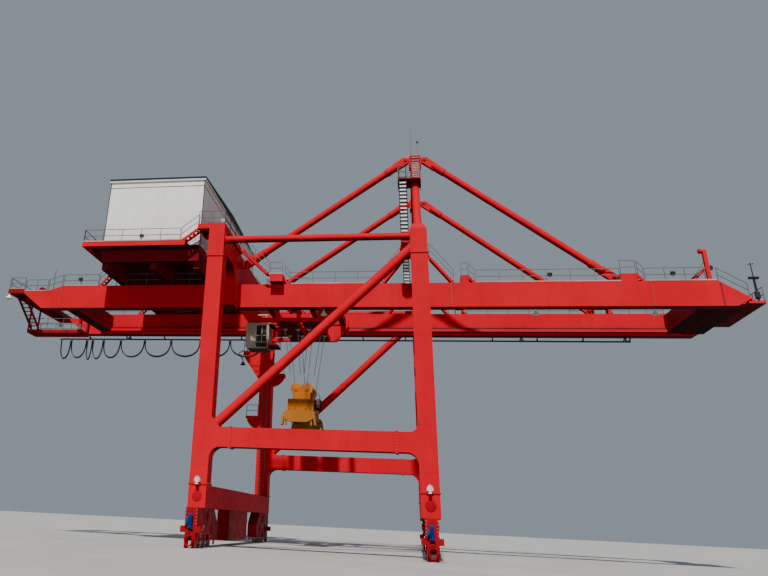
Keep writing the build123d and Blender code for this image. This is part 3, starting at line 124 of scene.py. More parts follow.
class Finish:
    """A procedural material built up from a few kinds of node that all the finishes share."""

    def __init__(self, name, slot):
        self.material = bpy.data.materials.new(name)
        self.material.use_nodes = True
        self.tree = self.material.node_tree
        self.shader = self.tree.nodes["Principled BSDF"]
        self.place = self.tree.nodes.new("ShaderNodeTexCoord").outputs["Object"]
        self.slot = slot

    def node(self, kind, settings=None, **inputs):
        """Add a node. An input is given by its name, or by its number after an underscore."""
        made = self.tree.nodes.new("ShaderNode" + kind)
        for name, value in (settings or {}).items():
            setattr(made, name, value)
        for name, value in inputs.items():
            socket = made.inputs[int(name[1:])] if name[0] == "_" else made.inputs[name.replace("_", " ")]
            if isinstance(value, bpy.types.NodeSocket):
                self.tree.links.new(value, socket)
            else:
                socket.default_value = value
        return made

    def cloud(self, scale, detail=5.0, stretch=(1, 1, 1)):
        """Soft noise over the surface, drawn out along an axis by a small stretch."""
        where = self.node("Mapping", _0=self.place, _3=stretch).outputs[0]
        return self.node("TexNoise", Vector=where, Scale=scale, Detail=detail).outputs["Fac"]

    def math(self, operation, *values):
        numbered = {f"_{n}": value for n, value in enumerate(values)}
        return self.node("Math", {"operation": operation}, **numbered).outputs[0]

    def levels(self, value, low, high, bottom=0, top=1):
        """Spread the values from low to high over bottom to top."""
        return self.node("MapRange", _0=value, _1=low, _2=high, _3=bottom, _4=top).outputs[0]

    def gloss(self, scale, low, high, detail=5.0):
        """Roughness that wanders between two values."""
        return self.levels(self.cloud(scale, detail), 0.3, 0.7, low, high)

    def mix(self, share, first, second):
        """Blend two colours, each one red, green and blue or another node's colour."""
        first, second = (value if isinstance(value, bpy.types.NodeSocket) else (*value, 1.0)
                         for value in (first, second))
        return self.node("Mix", {"data_type": "RGBA"}, _0=share, _6=first, _7=second).outputs[2]

    def axis(self, index):
        return self.node("SeparateXYZ", _0=self.place).outputs[index]

    def lines(self, coordinate, pitch, width, shift=0):
        """Thin lines across a coordinate, one every pitch: 1 on a line and 0 away from it."""
        moved = self.math("ADD", coordinate, shift + 50 * pitch)
        cycle = self.math("FRACT", self.math("DIVIDE", moved, pitch))
        off = self.math("ABSOLUTE", self.math("SUBTRACT", cycle, 0.5))
        return self.levels(off, 0.5 - width / pitch, 0.5 - 0.4 * width / pitch)

    def facing_up(self, low=0.7, high=0.9):
        """1 where the surface faces up, or down when low and high are negative, and 0 elsewhere."""
        normal = self.node("NewGeometry").outputs["Normal"]
        return self.levels(self.node("SeparateXYZ", _0=normal).outputs[2], low, high)

    def bump(self, height, strength, distance):
        return self.node("Bump", Height=height, Strength=strength, Distance=distance).outputs[0]

    def finish(self, colour, roughness, normal=None, **fixed):
        """Join the nodes to the shader and set its fixed values."""
        for name, output in (("Base Color", colour), ("Roughness", roughness), ("Normal", normal)):
            if output:
                self.tree.links.new(output, self.shader.inputs[name])
        for name, value in fixed.items():
            self.shader.inputs[name.replace("_", " ")].default_value = value
        return self


def dimmed(colour, share):
    """A darker version of a colour."""
    return tuple(share * part for part in colour)


RUST = (0.1, 0.035, 0.015)
UNDERSIDE_SHADE = (-0.3, -0.85)
WELD_WIDTH = 0.05 * M
GRATING_PITCH = 0.06
GRATING_BAR = 0.014


def painted(name, slot, colour, faded, dirt, grime=0.14, chips=0.74, rough=(0.48, 0.66), seam=None,
            deck=None):
    """Weathered paint: faded patches, streaks that run down, painted shade on undersides, rust chips and
    welded seams.

    seam is (axis, pitch, shift), and deck is the colour of the worn walking surface on top."""
    f = Finish(name, slot)
    tone = f.mix(f.levels(f.cloud(0.55, 3.0), 0.38, 0.66), colour, faded)
    streaks = f.levels(f.cloud(2.2, 6.0, (1, 1, 0.2)), 0.5, 0.8, 0, grime)
    tone = f.mix(streaks, tone, dirt)
    rusted = f.levels(f.cloud(26.0, 8.0), chips, chips + 0.03, 0.0, 0.8)
    tone = f.mix(rusted, tone, RUST)
    # Painted shade: faces that look down get a tenth of the dirt colour, almost black, and are made rough
    under = f.facing_up(*UNDERSIDE_SHADE)
    tone = f.mix(f.math("MULTIPLY", under, 0.94), tone, dimmed(dirt, 0.1))
    height = f.math("MULTIPLY", f.cloud(38.0, 3.0), 0.35)
    if seam:
        axis, pitch, shift = seam
        weld = f.lines(f.axis(axis), pitch * M, WELD_WIDTH, shift * M)
        tone = f.mix(f.math("MULTIPLY", weld, 0.12), tone, dirt)
        height = f.math("ADD", height, f.math("MULTIPLY", weld, 0.6))
    if deck:
        top = f.facing_up()
        grid = f.math("MAXIMUM", f.lines(f.axis(0), GRATING_PITCH, GRATING_BAR),
                      f.lines(f.axis(1), GRATING_PITCH, GRATING_BAR))
        worn = f.mix(grid, deck, dimmed(deck, 0.45))
        tone = f.mix(f.math("MULTIPLY", top, 0.85), tone, worn)
        height = f.math("ADD", height, f.math("MULTIPLY", grid, top))
    roughness = f.math("MAXIMUM", f.gloss(3.5, *rough, detail=4.0), under)
    return f.finish(tone, roughness, f.bump(height, 0.12, 0.003), Specular_IOR_Level=0.05)


RED = ((0.47, 0.002, 0.012), (0.52, 0.004, 0.015), (0.14, 0.004, 0.008))
red = painted("red_paint", "crane_red", *RED)
red_leg = painted("red_leg_paint", "crane_red", *RED, seam=(2, 3.1, 0.9))
red_girder = painted("red_girder_paint", "crane_red", *RED, seam=(0, 5.1, 1.7), deck=(0.2, 0.03, 0.03))
red_deck = painted("red_deck_paint", "crane_red", *RED, deck=(0.19, 0.06, 0.055))
# Darker red: worn paint on the bogies and fittings, and painted shade on the tail's platform, beam and
# gangway and the service floor
red_worn_and_shaded = painted("worn_and_shaded_red_paint", "crane_red", (0.24, 0.003, 0.009), (0.34, 0.003, 0.011),
                   (0.04, 0.012, 0.01), grime=0.8, chips=0.66, rough=(0.4, 0.7))
# Darker, browner yellow on the spreader: painted shade for the shaded lower part of the hoist gear
yellow_shaded = painted("shaded_yellow_paint", "hoist_yellow", (0.24, 0.085, 0.012), (0.34, 0.13, 0.016),
                       (0.05, 0.025, 0.014), grime=0.5, chips=0.66)
yellow = painted("yellow_worn_paint", "hoist_yellow", (0.56, 0.2, 0.008), (0.44, 0.13, 0.007),
                 (0.07, 0.025, 0.008), grime=0.85, chips=0.6, rough=(0.5, 0.75))
cab_paint = painted("cab_beige_paint", "cab_paint", (0.3, 0.265, 0.2), (0.37, 0.33, 0.26),
                    (0.1, 0.08, 0.055), grime=0.5)
white = painted("white_enamel", "rail_grey", (0.78, 0.78, 0.75), (0.7, 0.7, 0.67),
                (0.35, 0.31, 0.27), grime=0.4)
# Dark red that paints in the shade under the house deck, on the nose beam and on the nose floor
red_painted_shade = painted("shaded_red_paint", "crane_red", (0.13, 0.002, 0.006), (0.17, 0.003, 0.008),
                    (0.05, 0.003, 0.004))
# Pale pink on the toe boards and the mast head steps: painted highlight for the light their edges catch
toe_highlight_paint = painted("toe_board_highlight_paint", "rail_grey", (0.36, 0.17, 0.165), (0.46, 0.27, 0.265),
                    (0.24, 0.05, 0.05), grime=0.6)
motor_blue = painted("motor_blue_paint", "motor_blue", (0.008, 0.028, 0.16), (0.014, 0.045, 0.22),
                     (0.02, 0.02, 0.03), rough=(0.25, 0.45))
black = painted("black_paint", "rope_dark", (0.012, 0.012, 0.014), (0.03, 0.03, 0.034),
                (0.05, 0.04, 0.035), rough=(0.4, 0.6))


def galvanised(name, slot, colour, faded, metallic, rough):
    """Zinc or bare steel with a fine spangle and darker stains."""
    f = Finish(name, slot)
    spangle = f.node("TexVoronoi", Vector=f.place, Scale=45.0).outputs["Distance"]
    tone = f.mix(f.levels(spangle, 0.0, 0.7), colour, faded)
    stains = f.levels(f.cloud(9.0, 6.0), 0.55, 0.8, 0, 0.5)
    tone = f.mix(stains, tone, dimmed(colour, 0.35))
    return f.finish(tone, f.gloss(14.0, *rough), f.bump(f.cloud(70.0, 3.0), 0.15, 0.002), Metallic=metallic)


grey = galvanised("galvanised_tube", "rail_grey", (0.045, 0.038, 0.042), (0.09, 0.08, 0.085), 0.1, (0.5, 0.7))
steel = galvanised("running_steel", "rail_steel", (0.3, 0.28, 0.26), (0.42, 0.4, 0.37), 0.7, (0.25, 0.5))
bolt_steel = galvanised("bolt_steel", "rail_steel", (0.2, 0.05, 0.045), (0.34, 0.12, 0.1), 0.2, (0.4, 0.6))

SHEET_PITCH = 1.05 * M
FOLD_PITCH = 0.21 * M
ROOF_FOLD_PITCH = 0.25 * M
ROOF_EDGE = (28.46 * M, 28.5 * M)


def house_sheet():
    """Light sheet cladding: upright folds, faint overlaps and streaks below the roof."""
    f = Finish("house_sheet_metal", "house_sheet")
    along = f.math("ADD", f.axis(0), f.axis(1))
    tone = f.mix(f.levels(f.cloud(0.4, 3.0), 0.35, 0.65), (0.63, 0.63, 0.62), (0.71, 0.71, 0.7))
    streaks = f.levels(f.cloud(5.0, 6.0, (1, 1, 0.05)), 0.5, 0.8, 0, 0.35)
    tone = f.mix(streaks, tone, (0.4, 0.4, 0.39))
    overlap = f.lines(along, SHEET_PITCH, 0.012 * M, 0.31 * M)
    tone = f.mix(f.math("MULTIPLY", overlap, 0.4), tone, (0.3, 0.3, 0.3))
    fold = f.math("SINE", f.math("MULTIPLY", along, math.tau / FOLD_PITCH))
    height = f.math("ADD", f.math("MULTIPLY", fold, 0.35), f.math("MULTIPLY", overlap, -1.0))
    return f.finish(tone, f.gloss(2.5, 0.42, 0.6), f.bump(height, 0.3, 0.006))


def roof_sheet():
    """Roof: light folded sheets on top, and sides that are light below and dark at the upper edge."""
    f = Finish("roof_sheet_metal", "roof_sheet")
    dark = f.mix(f.levels(f.cloud(3.0), 0.4, 0.7), (0.006, 0.007, 0.014), (0.012, 0.014, 0.024))
    light = f.mix(f.levels(f.cloud(1.2, 5.0), 0.35, 0.7), (0.5, 0.5, 0.49), (0.6, 0.6, 0.59))
    edge = f.mix(f.levels(f.axis(2), *ROOF_EDGE), light, dark)
    top = f.facing_up()
    fold = f.math("SINE", f.math("MULTIPLY", f.axis(0), math.tau / ROOF_FOLD_PITCH))
    return f.finish(f.mix(top, edge, light), f.gloss(4.0, 0.5, 0.7),
                    f.bump(f.math("MULTIPLY", fold, top), 0.3, 0.006), Specular_IOR_Level=0.15)


def glass():
    """Dark tinted glass with a patchy film of dust."""
    f = Finish("cab_tinted_glass", "cab_glass")
    tone = f.mix(f.levels(f.cloud(6.0, 6.0), 0.5, 0.8, 0, 0.5), (0.01, 0.013, 0.016), (0.09, 0.09, 0.085))
    return f.finish(tone, f.gloss(8.0, 0.06, 0.22), IOR=1.5)


def lamp_glass():
    """A lamp's frosted front glass."""
    f = Finish("lamp_front_glass", "rail_grey")
    tone = f.mix(f.levels(f.cloud(20.0), 0.4, 0.7), (0.75, 0.75, 0.72), (0.62, 0.62, 0.6))
    return f.finish(tone, f.gloss(12.0, 0.1, 0.25))


def rope_wire(name, slot, colour, worn, twist):
    """Stranded rope or ribbed cable: slanting strands in colour and relief."""
    f = Finish(name, slot)
    lay = f.math("ADD", f.math("MULTIPLY", f.axis(2), twist), f.math("MULTIPLY", f.axis(0), twist * 0.8))
    strand = f.levels(f.math("SINE", lay), -1.0, 1.0)
    tone = f.mix(strand, colour, worn)
    return f.finish(tone, f.gloss(20.0, 0.45, 0.65), f.bump(strand, 0.4, 0.003))


house = house_sheet()
roof = roof_sheet()
tinted = glass()
lens = lamp_glass()
wire = rope_wire("wire_rope", "rope_dark", (0.16, 0.16, 0.17), (0.34, 0.34, 0.35), 260.0)
cable = rope_wire("rubber_cable", "rope_dark", (0.008, 0.008, 0.009), (0.02, 0.02, 0.022), 60.0)
hose = rope_wire("brown_hose", "rope_dark", (0.1, 0.045, 0.02), (0.17, 0.08, 0.035), 120.0)

# Finishes of the pieces that the frame brings, plain red where none is given
FINISHES = {
    red_leg: ("landside_leg_near", "landside_leg_far", "waterside_leg_near", "waterside_leg_far"),
    red_girder: ("girder_near", "girder_far", "portal_beams"),
    red_deck: ("crossing_floors", "girder_landings", "mast_platform", "house_platform", "boarding_platform",
               "nose_platform", "leg_landings", "stair_treads", "landside_cross_beam", "waterside_cross_beam",
               "cab_balcony"),
    # Worn paint, and painted shade on the tail and the service floor
    red_worn_and_shaded: ("bogies", "rail_clamps", "sill_cabinet", "tail_platform", "tail_beam", "tail_gangway",
               "service_floor"),
    # Painted shade: the beams under the house and the nose beam take the darkened red
    red_painted_shade: ("house_beams", "house_headers", "nose_beam"),
    yellow: ("head_block",),
    # Painted shade: the spreader takes the darker yellow
    yellow_shaded: ("spreader",),
    cab_paint: ("operator_cab",),
    house: ("machinery_house",),
    roof: ("house_roof",),
    tinted: ("cab_glazing",),
    grey: ("girder_railings", "platform_railings", "house_railing", "stair_railings", "aerials"),
    # Painted shade: the festoon track and the mast ladders are black for the shade they sit in
    black: ("festoon_track", "nose_lamp_post", "mast_ladder", "trolley_rails"),
}
finish_of = {node: finish for finish, nodes in FINISHES.items() for node in nodes}
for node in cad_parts:
    shown = bpy.data.objects[node]
    shown.data.materials.clear()
    shown.data.materials.append(finish_of.get(node, red).material)


class Piece:
    """A mesh in the making: plates, tubes, turned forms, swept lines and bolts, joined into one object."""

    def __init__(self, *finishes):
        self.mesh = bmesh.new()
        self.finishes = finishes
        self.use(finishes[0])

    def use(self, finish):
        """Choose which of the piece's finishes the next forms get."""
        self.index = self.finishes.index(finish)

    def cube(self, place):
        """Put a cube of one metre in place by a matrix, and give back its corners."""
        corners = bmesh.ops.create_cube(self.mesh, size=1.0, matrix=place)["verts"]
        for face in {face for corner in corners for face in corner.link_faces}:
            face.material_index = self.index
        return corners

    def plate(self, across, along, upright, edge=0):
        """A box given by its real ranges in X, Y and Z, with its edges rounded by the given amount."""
        low, high = (at(*corner) for corner in zip(across, along, upright))
        corners = self.cube(Matrix.Translation((low + high) / 2) @ Matrix.Diagonal((*(high - low), 1.0)))
        if edge:
            edges = list({side for corner in corners for side in corner.link_edges})
            bmesh.ops.bevel(self.mesh, geom=edges, offset=edge, segments=2, affect="EDGES", profile=0.5)

    def beam(self, start, end, wide, deep):
        """A square bar between two points."""
        run = end - start
        turned = run.to_track_quat("Z", "Y").to_matrix().to_4x4()
        size = Matrix.Diagonal((wide, deep, run.length, 1.0))
        self.cube(Matrix.Translation((start + end) / 2) @ turned @ size)

    def tube(self, start, end, radius, sides=12):
        """A round bar between two points."""
        run = end - start
        self.turned(start, run, ((0, radius), (run.length, radius)), sides)

    def turned(self, base, axis, profile, sides=20):
        """Turn a profile of (height, radius) pairs round an axis."""
        facing = Vector(axis).to_track_quat("Z", "Y").to_matrix()
        self.skin([[self.mesh.verts.new(Vector(base) + facing @ Vector((*place, h)))
                    for place in circle(r, ring(sides))] for h, r in profile])

    def line(self, points, radius, sides=8, loop=False):
        """Sweep a round section along a line of points."""
        rings = []
        side = None
        for n, point in enumerate(points):
            before = points[n - 1] if n or loop else point
            after = points[(n + 1) % len(points)] if n + 1 < len(points) or loop else point
            along = (after - before).normalized()
            side = side or along.orthogonal()
            side = (side - along * side.dot(along)).normalized()
            across = along.cross(side)
            rings.append([self.mesh.verts.new(point + radius * (side * math.cos(a) + across * math.sin(a)))
                          for a in ring(sides)])
        self.skin(rings, loop)

    def skin(self, rings, loop=False):
        """Join rings of points with faces, and close both ends unless the rings make a loop."""
        nexts = rings[1:] + rings[:1] if loop else rings[1:]
        faces = []
        for low, high in zip(rings, nexts):
            for n in range(len(low)):
                m = (n + 1) % len(low)
                faces.append(self.mesh.faces.new((low[n], low[m], high[m], high[n])))
        if not loop:
            faces.append(self.mesh.faces.new(list(reversed(rings[0]))))
            faces.append(self.mesh.faces.new(rings[-1]))
        for face in faces:
            face.material_index = self.index

    def bolts(self, places, axis, size):
        """Six-sided bolt heads on washers, all facing along one axis."""
        axis = Vector(axis).normalized()
        washer = size / 4
        for place in places:
            self.turned(place, axis, ((0, size * 1.5), (washer, size * 1.5)), 8)
            self.turned(place + axis * washer, axis, ((0, size), (size, size)), 6)

    def done(self, name, body, stands_for=(), stretch=None):
        """Make the object, let it move with a body, or leave it unattached when given a stretch, and hide
        what it stands for.
        """
        bmesh.ops.recalc_face_normals(self.mesh, faces=self.mesh.faces)
        data = bpy.data.meshes.new(name)
        self.mesh.to_mesh(data)
        self.mesh.free()
        for finish in self.finishes:
            data.materials.append(finish.material)
        data.shade_smooth()
        data.set_sharp_from_angle(angle=math.radians(32))
        made = placed(name, data)
        if stretch:
            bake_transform(made)
        else:
            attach(made, body)
        if stands_for:
            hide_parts(*stands_for)


def spread(start, end, count):
    """Evenly spaced values from start to end."""
    return [start + (end - start) * n / (count - 1) for n in range(count)]


def ring(count, start=0):
    """Angles spaced evenly round a full circle."""
    return [start + math.tau * n / count for n in range(count)]


def rim(half_a, half_b, pitch):
    """Places round the rim of a rectangle, as pairs of offsets from its middle."""
    across, upright = (spread(-half, half, max(2, round(2 * half / pitch) + 1)) for half in (half_a, half_b))
    ends = [(end * half_a, b) for b in upright[1:-1] for end in SIDES]
    return [(a, end * half_b) for a in across for end in SIDES] + ends


def circle(radius, angles):
    """Places round a circle at the given angles, as pairs of offsets from its middle."""
    return [(radius * math.cos(a), radius * math.sin(a)) for a in angles]


def straight(start, end, count):
    """Evenly spaced points on the line between two points."""
    return [start.lerp(end, share) for share in spread(0, 1, count)]


# Sizes of the bolt heads
BIG_BOLT = 0.01
BOLT = 0.009
SMALL_BOLT = 0.008
PIN_BOLT = 0.007

# Bolts round the flanges of the legs and the collars of the portal beams
BOLT_PITCH = 0.19
BARE_HALF = 0.45
COLLAR_SET = 2.1
COLLAR_Z = 7.205
COLLAR_HALF_Y = LEG_HALF_Y + 0.036
COLLAR_HALF_Z = 0.711
piece = Piece(bolt_steel)
for rail, side in CORNERS:
    y = side * LEG_LINE
    for z in LEG_LEVELS:
        for dx, dy in rim(LEG_HALF_X + FLANGE_LIP / 2, LEG_HALF_Y + FLANGE_LIP / 2, BOLT_PITCH):
            # The upper flange of the waterside legs is bare in the middle of its landward side
            bare = rail == 0.0 and z == LEG_LEVELS[1] and dx < -LEG_HALF_X and abs(dy) <= BARE_HALF
            if not bare:
                for way in SIDES:
                    piece.bolts([at(rail + dx, y + dy, z + way * FLANGE_HALF)], (0, 0, way), BIG_BOLT)
    for way in SIDES:
        x = rail + (COLLAR_SET if rail else -COLLAR_SET) + way * 2 * FLANGE_HALF
        piece.bolts([at(x, y + dy, COLLAR_Z + dz)
                     for dy, dz in rim(COLLAR_HALF_Y, COLLAR_HALF_Z, BOLT_PITCH)], (way, 0, 0), BIG_BOLT)
piece.done("flange_bolts", "crane")

# Bolt rows on the girder splices
SPLICES = (-32.1, 2.6, 18.1)
SPLICE_PLATE = 0.03
SPLICE_HALF = 0.045
SPLICE_EDGE = 0.1
piece = Piece(bolt_steel)
for side in SIDES:
    y = side * (GIRDER_OUT + SPLICE_PLATE)
    for x in SPLICES:
        piece.bolts([at(near, y, z) for near in about(x, SPLICE_HALF)
                     for z in spread(GIRDER_LOW + SPLICE_EDGE, GIRDER_TOP - SPLICE_EDGE, 15)],
                    (0, side, 0), BIG_BOLT)
piece.done("girder_splice_bolts", "crane")

# Site seams near the boom tip
SEAM_X = (23.07, 23.13)
SEAM_TOP = 20.36
SEAM_HALF = 0.012
piece = Piece(black)
for side in SIDES:
    piece.plate(SEAM_X, about(side * (GIRDER_OUT + 0.008), SEAM_HALF), (GIRDER_LOW, SEAM_TOP))
piece.done("nose_seams", "crane")

# Pin caps on the forks of the stays. Each stay is given by X and Z of its lower and upper pin
STAYS = (((15.5, 20.9), (0.95, 32.1)), ((-15.05, 22.4), (-0.75, 32.1)))
FORK_FACE = 0.2
PIN_CAP = ((0, 0.085), (0.008, 0.09), (0.018, 0.085), (0.022, 0.055), (0.036, 0.05), (0.038, 0.03))
PIN_BOLT_RING = 0.068
PIN_BOLT_SET = 0.018
piece = Piece(red_worn_and_shaded, bolt_steel)
for side in SIDES:
    for x, z in (pin for stay in STAYS for pin in stay):
        for way in SIDES:
            face = at(x, side * GIRDER_HALF + way * FORK_FACE, z)
            piece.use(red_worn_and_shaded)
            piece.turned(face, (0, way, 0), PIN_CAP)
            piece.use(bolt_steel)
            piece.bolts([face + Vector((dx, way * PIN_BOLT_SET, dz))
                         for dx, dz in circle(PIN_BOLT_RING, ring(5, 0.5))], (0, way, 0), PIN_BOLT)
piece.done("stay_pin_caps", "crane")

# Weld collars at the ends of the ties, and sleeves with cheeks at the ends of the stays
TIE_Z = 22.4
TIE_COLLAR = ((0, 0.185), (0.02, 0.175), (0.035, 0.155), (0.036, 0.14))
SLEEVE_START = 0.45
SLEEVE = ((0, 0.15), (0.02, 0.178), (0.6, 0.178), (0.64, 0.152))
CHEEK = (-0.05, 0.6)
CHEEK_OUT = 0.18 * M
CHEEK_THICK = 0.04 * M
CHEEK_TALL = 0.34
piece = Piece(red)
for side in SIDES:
    for rail, inward in zip(RAILS, (1, -1)):
        piece.turned(at(rail + inward * LEG_HALF_X, side * LEG_LINE, TIE_Z), (inward, 0, 0), TIE_COLLAR)
    for stay in STAYS:
        low, high = (at(x, side * GIRDER_HALF, z) for x, z in stay)
        run = (high - low).normalized()
        for pin, along in ((low, run), (high, -run)):
            piece.turned(pin + along * SLEEVE_START, along, SLEEVE, 28)
            for out in (Vector((0, y, 0)) for y in about(0, CHEEK_OUT)):
                piece.beam(*(pin + along * reach + out for reach in CHEEK), CHEEK_THICK, CHEEK_TALL)
piece.done("pipe_collars", "crane")

# Toe boards along the walkways, a hand's width tall, pale as a painted highlight
TOE_TALL = 0.1
TOE_HALF = 0.012
GIRDER_RUNS = ((-32.0, -28.7), (-10.9, -3.2), (4.6, 15.9), (17.7, 22.9))
SHELF_X = (-35.8, -33.6)
SHELF_FLOOR = 20.05
HOUSE_DECK_X = (-27.8, -19.2)
HOUSE_DECK_SIDE = 12.0
LANDING_X = (-12.65, -11.5)
LANDING_SIDE = 6.59
LANDING_FLOOR = 21.15
NOSE_EDGE = 26.0
NOSE_SIDES = (-5.8, 2.0)
NOSE_DECK = 18.83
piece = Piece(toe_highlight_paint)
long_boards = [(run, GIRDER_OUT, GIRDER_TOP) for run in GIRDER_RUNS]
long_boards += [(SHELF_X, GIRDER_OUT, SHELF_FLOOR), ((TAIL_END, SHELF_X[0]), GIRDER_OUT, TAIL_FLOOR),
                (HOUSE_DECK_X, HOUSE_DECK_SIDE, HOUSE_FLOOR), (LANDING_X, LANDING_SIDE, LANDING_FLOOR)]
for side in SIDES:
    for run, edge, z in long_boards:
        piece.plate(run, about(side * (edge + TOE_HALF), TOE_HALF), (z, z + TOE_TALL))
for x, run, z in ((HOUSE_DECK_X[0], about(0, HOUSE_DECK_SIDE), HOUSE_FLOOR),
                  (TAIL_END, about(0, GIRDER_OUT), TAIL_FLOOR), (NOSE_EDGE, NOSE_SIDES, NOSE_DECK)):
    piece.plate(about(x, TOE_HALF), run, (z, z + TOE_TALL))
piece.done("toe_boards", "crane")

# Machinery house: corner angles, a dark line under the roof and a base strip
HOUSE_X = (-26.45, -17.9)
HOUSE_Y = 10.8
HOUSE_TOP = 28.35
ANGLE_HALF = 0.03
DARK_LINE = (27.83, 27.87)
BASE_STRIP = (HOUSE_FLOOR, HOUSE_FLOOR + 0.22)


def wall_strip(piece, levels, half, edge=0):
    """A strip on each wall of the house between two levels, standing out by twice the half."""
    for face, end in zip(SIDES, HOUSE_X):
        piece.plate(HOUSE_X, about(face * (HOUSE_Y + half), half), levels, edge)
        piece.plate(about(end + face * half, half), about(0, HOUSE_Y), levels, edge)


piece = Piece(black, house)
for x in HOUSE_X:
    for side in SIDES:
        piece.plate(about(x, ANGLE_HALF), about(side * HOUSE_Y, ANGLE_HALF), (HOUSE_FLOOR, HOUSE_TOP))
wall_strip(piece, DARK_LINE, 0.012)
piece.use(house)
wall_strip(piece, BASE_STRIP, 0.02, 0.006)
piece.done("house_trim", "crane")

# Bogies: wheel brackets with axle caps, pivot caps, the rims of the end shoes and bolted end plates
BOGIE_FACE = 13.65
BOGIE_HALF = 0.425
BOGIE_MID = BOGIE_FACE - 3.0
WHEEL_PITCH = 1.3
AXLE_Z = 0.35
AXLE_RING = ((0, 0.1), (0.022, 0.1), (0.024, 0.085))
AXLE_CAP = ((0, 0.06), (0.02, 0.058), (0.026, 0.03))
BRACKET_HALF = 0.2
BRACKET_THICK = 0.02
BRACKET_Z = (0.3, 0.95)
BRACKET_BOLTS = ((-0.13, 0.7), (-0.13, 0.86), (0.13, 0.7), (0.13, 0.86))
PIVOTS = ((-1, 1.15), (0, 2.0), (1, 1.15))
PIVOT_CAP = ((0, 0.16), (0.02, 0.16), (0.03, 0.14), (0.03, 0.09), (0.05, 0.085), (0.052, 0.06))
PIVOT_BOLT_RING = 0.24
SHOE_HALF_X = 0.27
SHOE_HALF_Z = 0.42
SHOE_Z = 0.56
SHOE_OUT = 0.28
SILL_Z = 3.25
SILL_CAP = ((0, 0.18), (0.008, 0.18), (0.012, 0.165))
END_BOLT_X = 0.36
END_BOLT_Z = (1.5, 2.35)


def wheel_lines(side):
    """Y of the four wheels under one corner."""
    return [side * (BOGIE_MID + n * WHEEL_PITCH) for n in (-1.5, -0.5, 0.5, 1.5)]


piece = Piece(red_worn_and_shaded, steel)
for rail, side in CORNERS:
    for way in SIDES:
        face = rail + way * BOGIE_HALF
        out = (way, 0, 0)
        for y in wheel_lines(side):
            piece.use(red_worn_and_shaded)
            piece.plate(about(face, BRACKET_THICK), about(y, BRACKET_HALF), BRACKET_Z, 0.004)
            piece.turned(at(face - way * BRACKET_THICK, y, AXLE_Z), out, AXLE_RING)
            piece.use(steel)
            piece.turned(at(face + way * 0.03, y, AXLE_Z), out, AXLE_CAP)
            piece.bolts([at(face + way * BRACKET_THICK, y + dy, z) for dy, z in BRACKET_BOLTS], out, BOLT)
        for n, z in PIVOTS:
            y = side * (BOGIE_MID + n * WHEEL_PITCH)
            piece.use(red_worn_and_shaded)
            piece.turned(at(face, y, z), out, PIVOT_CAP)
            piece.use(steel)
            piece.bolts([at(face + way * 0.06, y + dy, z + dz)
                         for dy, dz in circle(PIVOT_BOLT_RING, ring(8, 0.3))], out, SMALL_BOLT)
    outer = side * BOGIE_FACE
    piece.use(red_worn_and_shaded)
    piece.line([at(rail + SHOE_HALF_X * c, outer + side * SHOE_OUT, SHOE_Z + SHOE_HALF_Z * s)
                for c, s in circle(1.0, ring(28))], 0.03, 10, True)
    piece.turned(at(rail, side * FRAME_HALF, SILL_Z), (0, side, 0), SILL_CAP, 32)
    piece.use(steel)
    piece.bolts([at(x, outer, z) for x in about(rail, END_BOLT_X) for z in spread(*END_BOLT_Z, 5)],
                (0, side, 0), BIG_BOLT)
piece.done("bogie_fittings", "crane")

# Travel motors: finned bodies with a fan cover and a terminal box, on a gearbox flange
MOTOR_LOW = 1.27
MOTOR_LINE = 13.85
FIN_ROOT = 0.058
FIN_TIP = 0.074
FIN_PITCH = 0.03
MOTOR_CABLE = ((0.22, 0, 1.56), (0.24, 0, 1.4), (0.3, 0.1, 1.3), (0.42, 0.2, 1.34))
motor_profile = [(0, 0.06), (0, 0.072), (0.03, 0.072), (0.035, FIN_ROOT)]
for z in spread(0.06, 0.06 + 8 * FIN_PITCH, 9):
    motor_profile += [(z, FIN_ROOT), (z + 0.001, FIN_TIP), (z + 0.012, FIN_TIP), (z + 0.013, FIN_ROOT)]
motor_profile += [(0.345, FIN_ROOT), (0.35, FIN_TIP), (0.41, FIN_TIP), (0.425, 0.05)]
piece = Piece(motor_blue, black)
for rail, side in CORNERS:
    y = side * MOTOR_LINE
    piece.use(motor_blue)
    piece.turned(at(rail, y, MOTOR_LOW), UP, motor_profile, 24)
    piece.plate(about(rail - 0.22, 0.1), about(y, 0.09), (1.55, 1.85), 0.008)
    piece.plate(about(rail, 0.17), (side * BOGIE_FACE, y), (1.2, 1.34), 0.008)
    piece.use(black)
    piece.line([at(rail - dx, y - side * dy, z) for dx, dy, z in MOTOR_CABLE], 0.012)
piece.done("travel_motor_bodies", "crane", ("travel_motors",))

# Travel wheels with a dished disc
WHEEL_DISC = ((0, 0.05), (0, 0.08), (0.02, 0.09), (0.02, 0.13), (0, 0.14), (0, 0.174), (0.1, 0.175),
              (0.1, 0.14), (0.08, 0.13), (0.08, 0.09), (0.1, 0.08), (0.1, 0.05))
piece = Piece(steel)
for rail, side in CORNERS:
    for y in wheel_lines(side):
        piece.turned(at(rail - WHEEL_HALF / M, y, AXLE_Z), (1, 0, 0), WHEEL_DISC, 40)
piece.done("travel_wheel_discs", "crane", ("travel_wheels",))

# Stems, forks and forms that the lamps share
STEM_RADIUS = 0.016
STEM_TALL = 0.05
FORK_RADIUS = 0.008
BOWL = ((0, 0.02), (0.02, 0.05), (0.07, 0.085), (0.12, 0.095), (0.13, 0.095), (0.13, 0.086), (0.115, 0.08))
BOWL_GLASS = ((0, 0.081), (0.008, 0.06), (0.012, 0.02))
FLOOD_CASE = (0.16, 0.12, 0.1)
FLOOD_GLASS = (0.1344, 0.1008, 0.01)


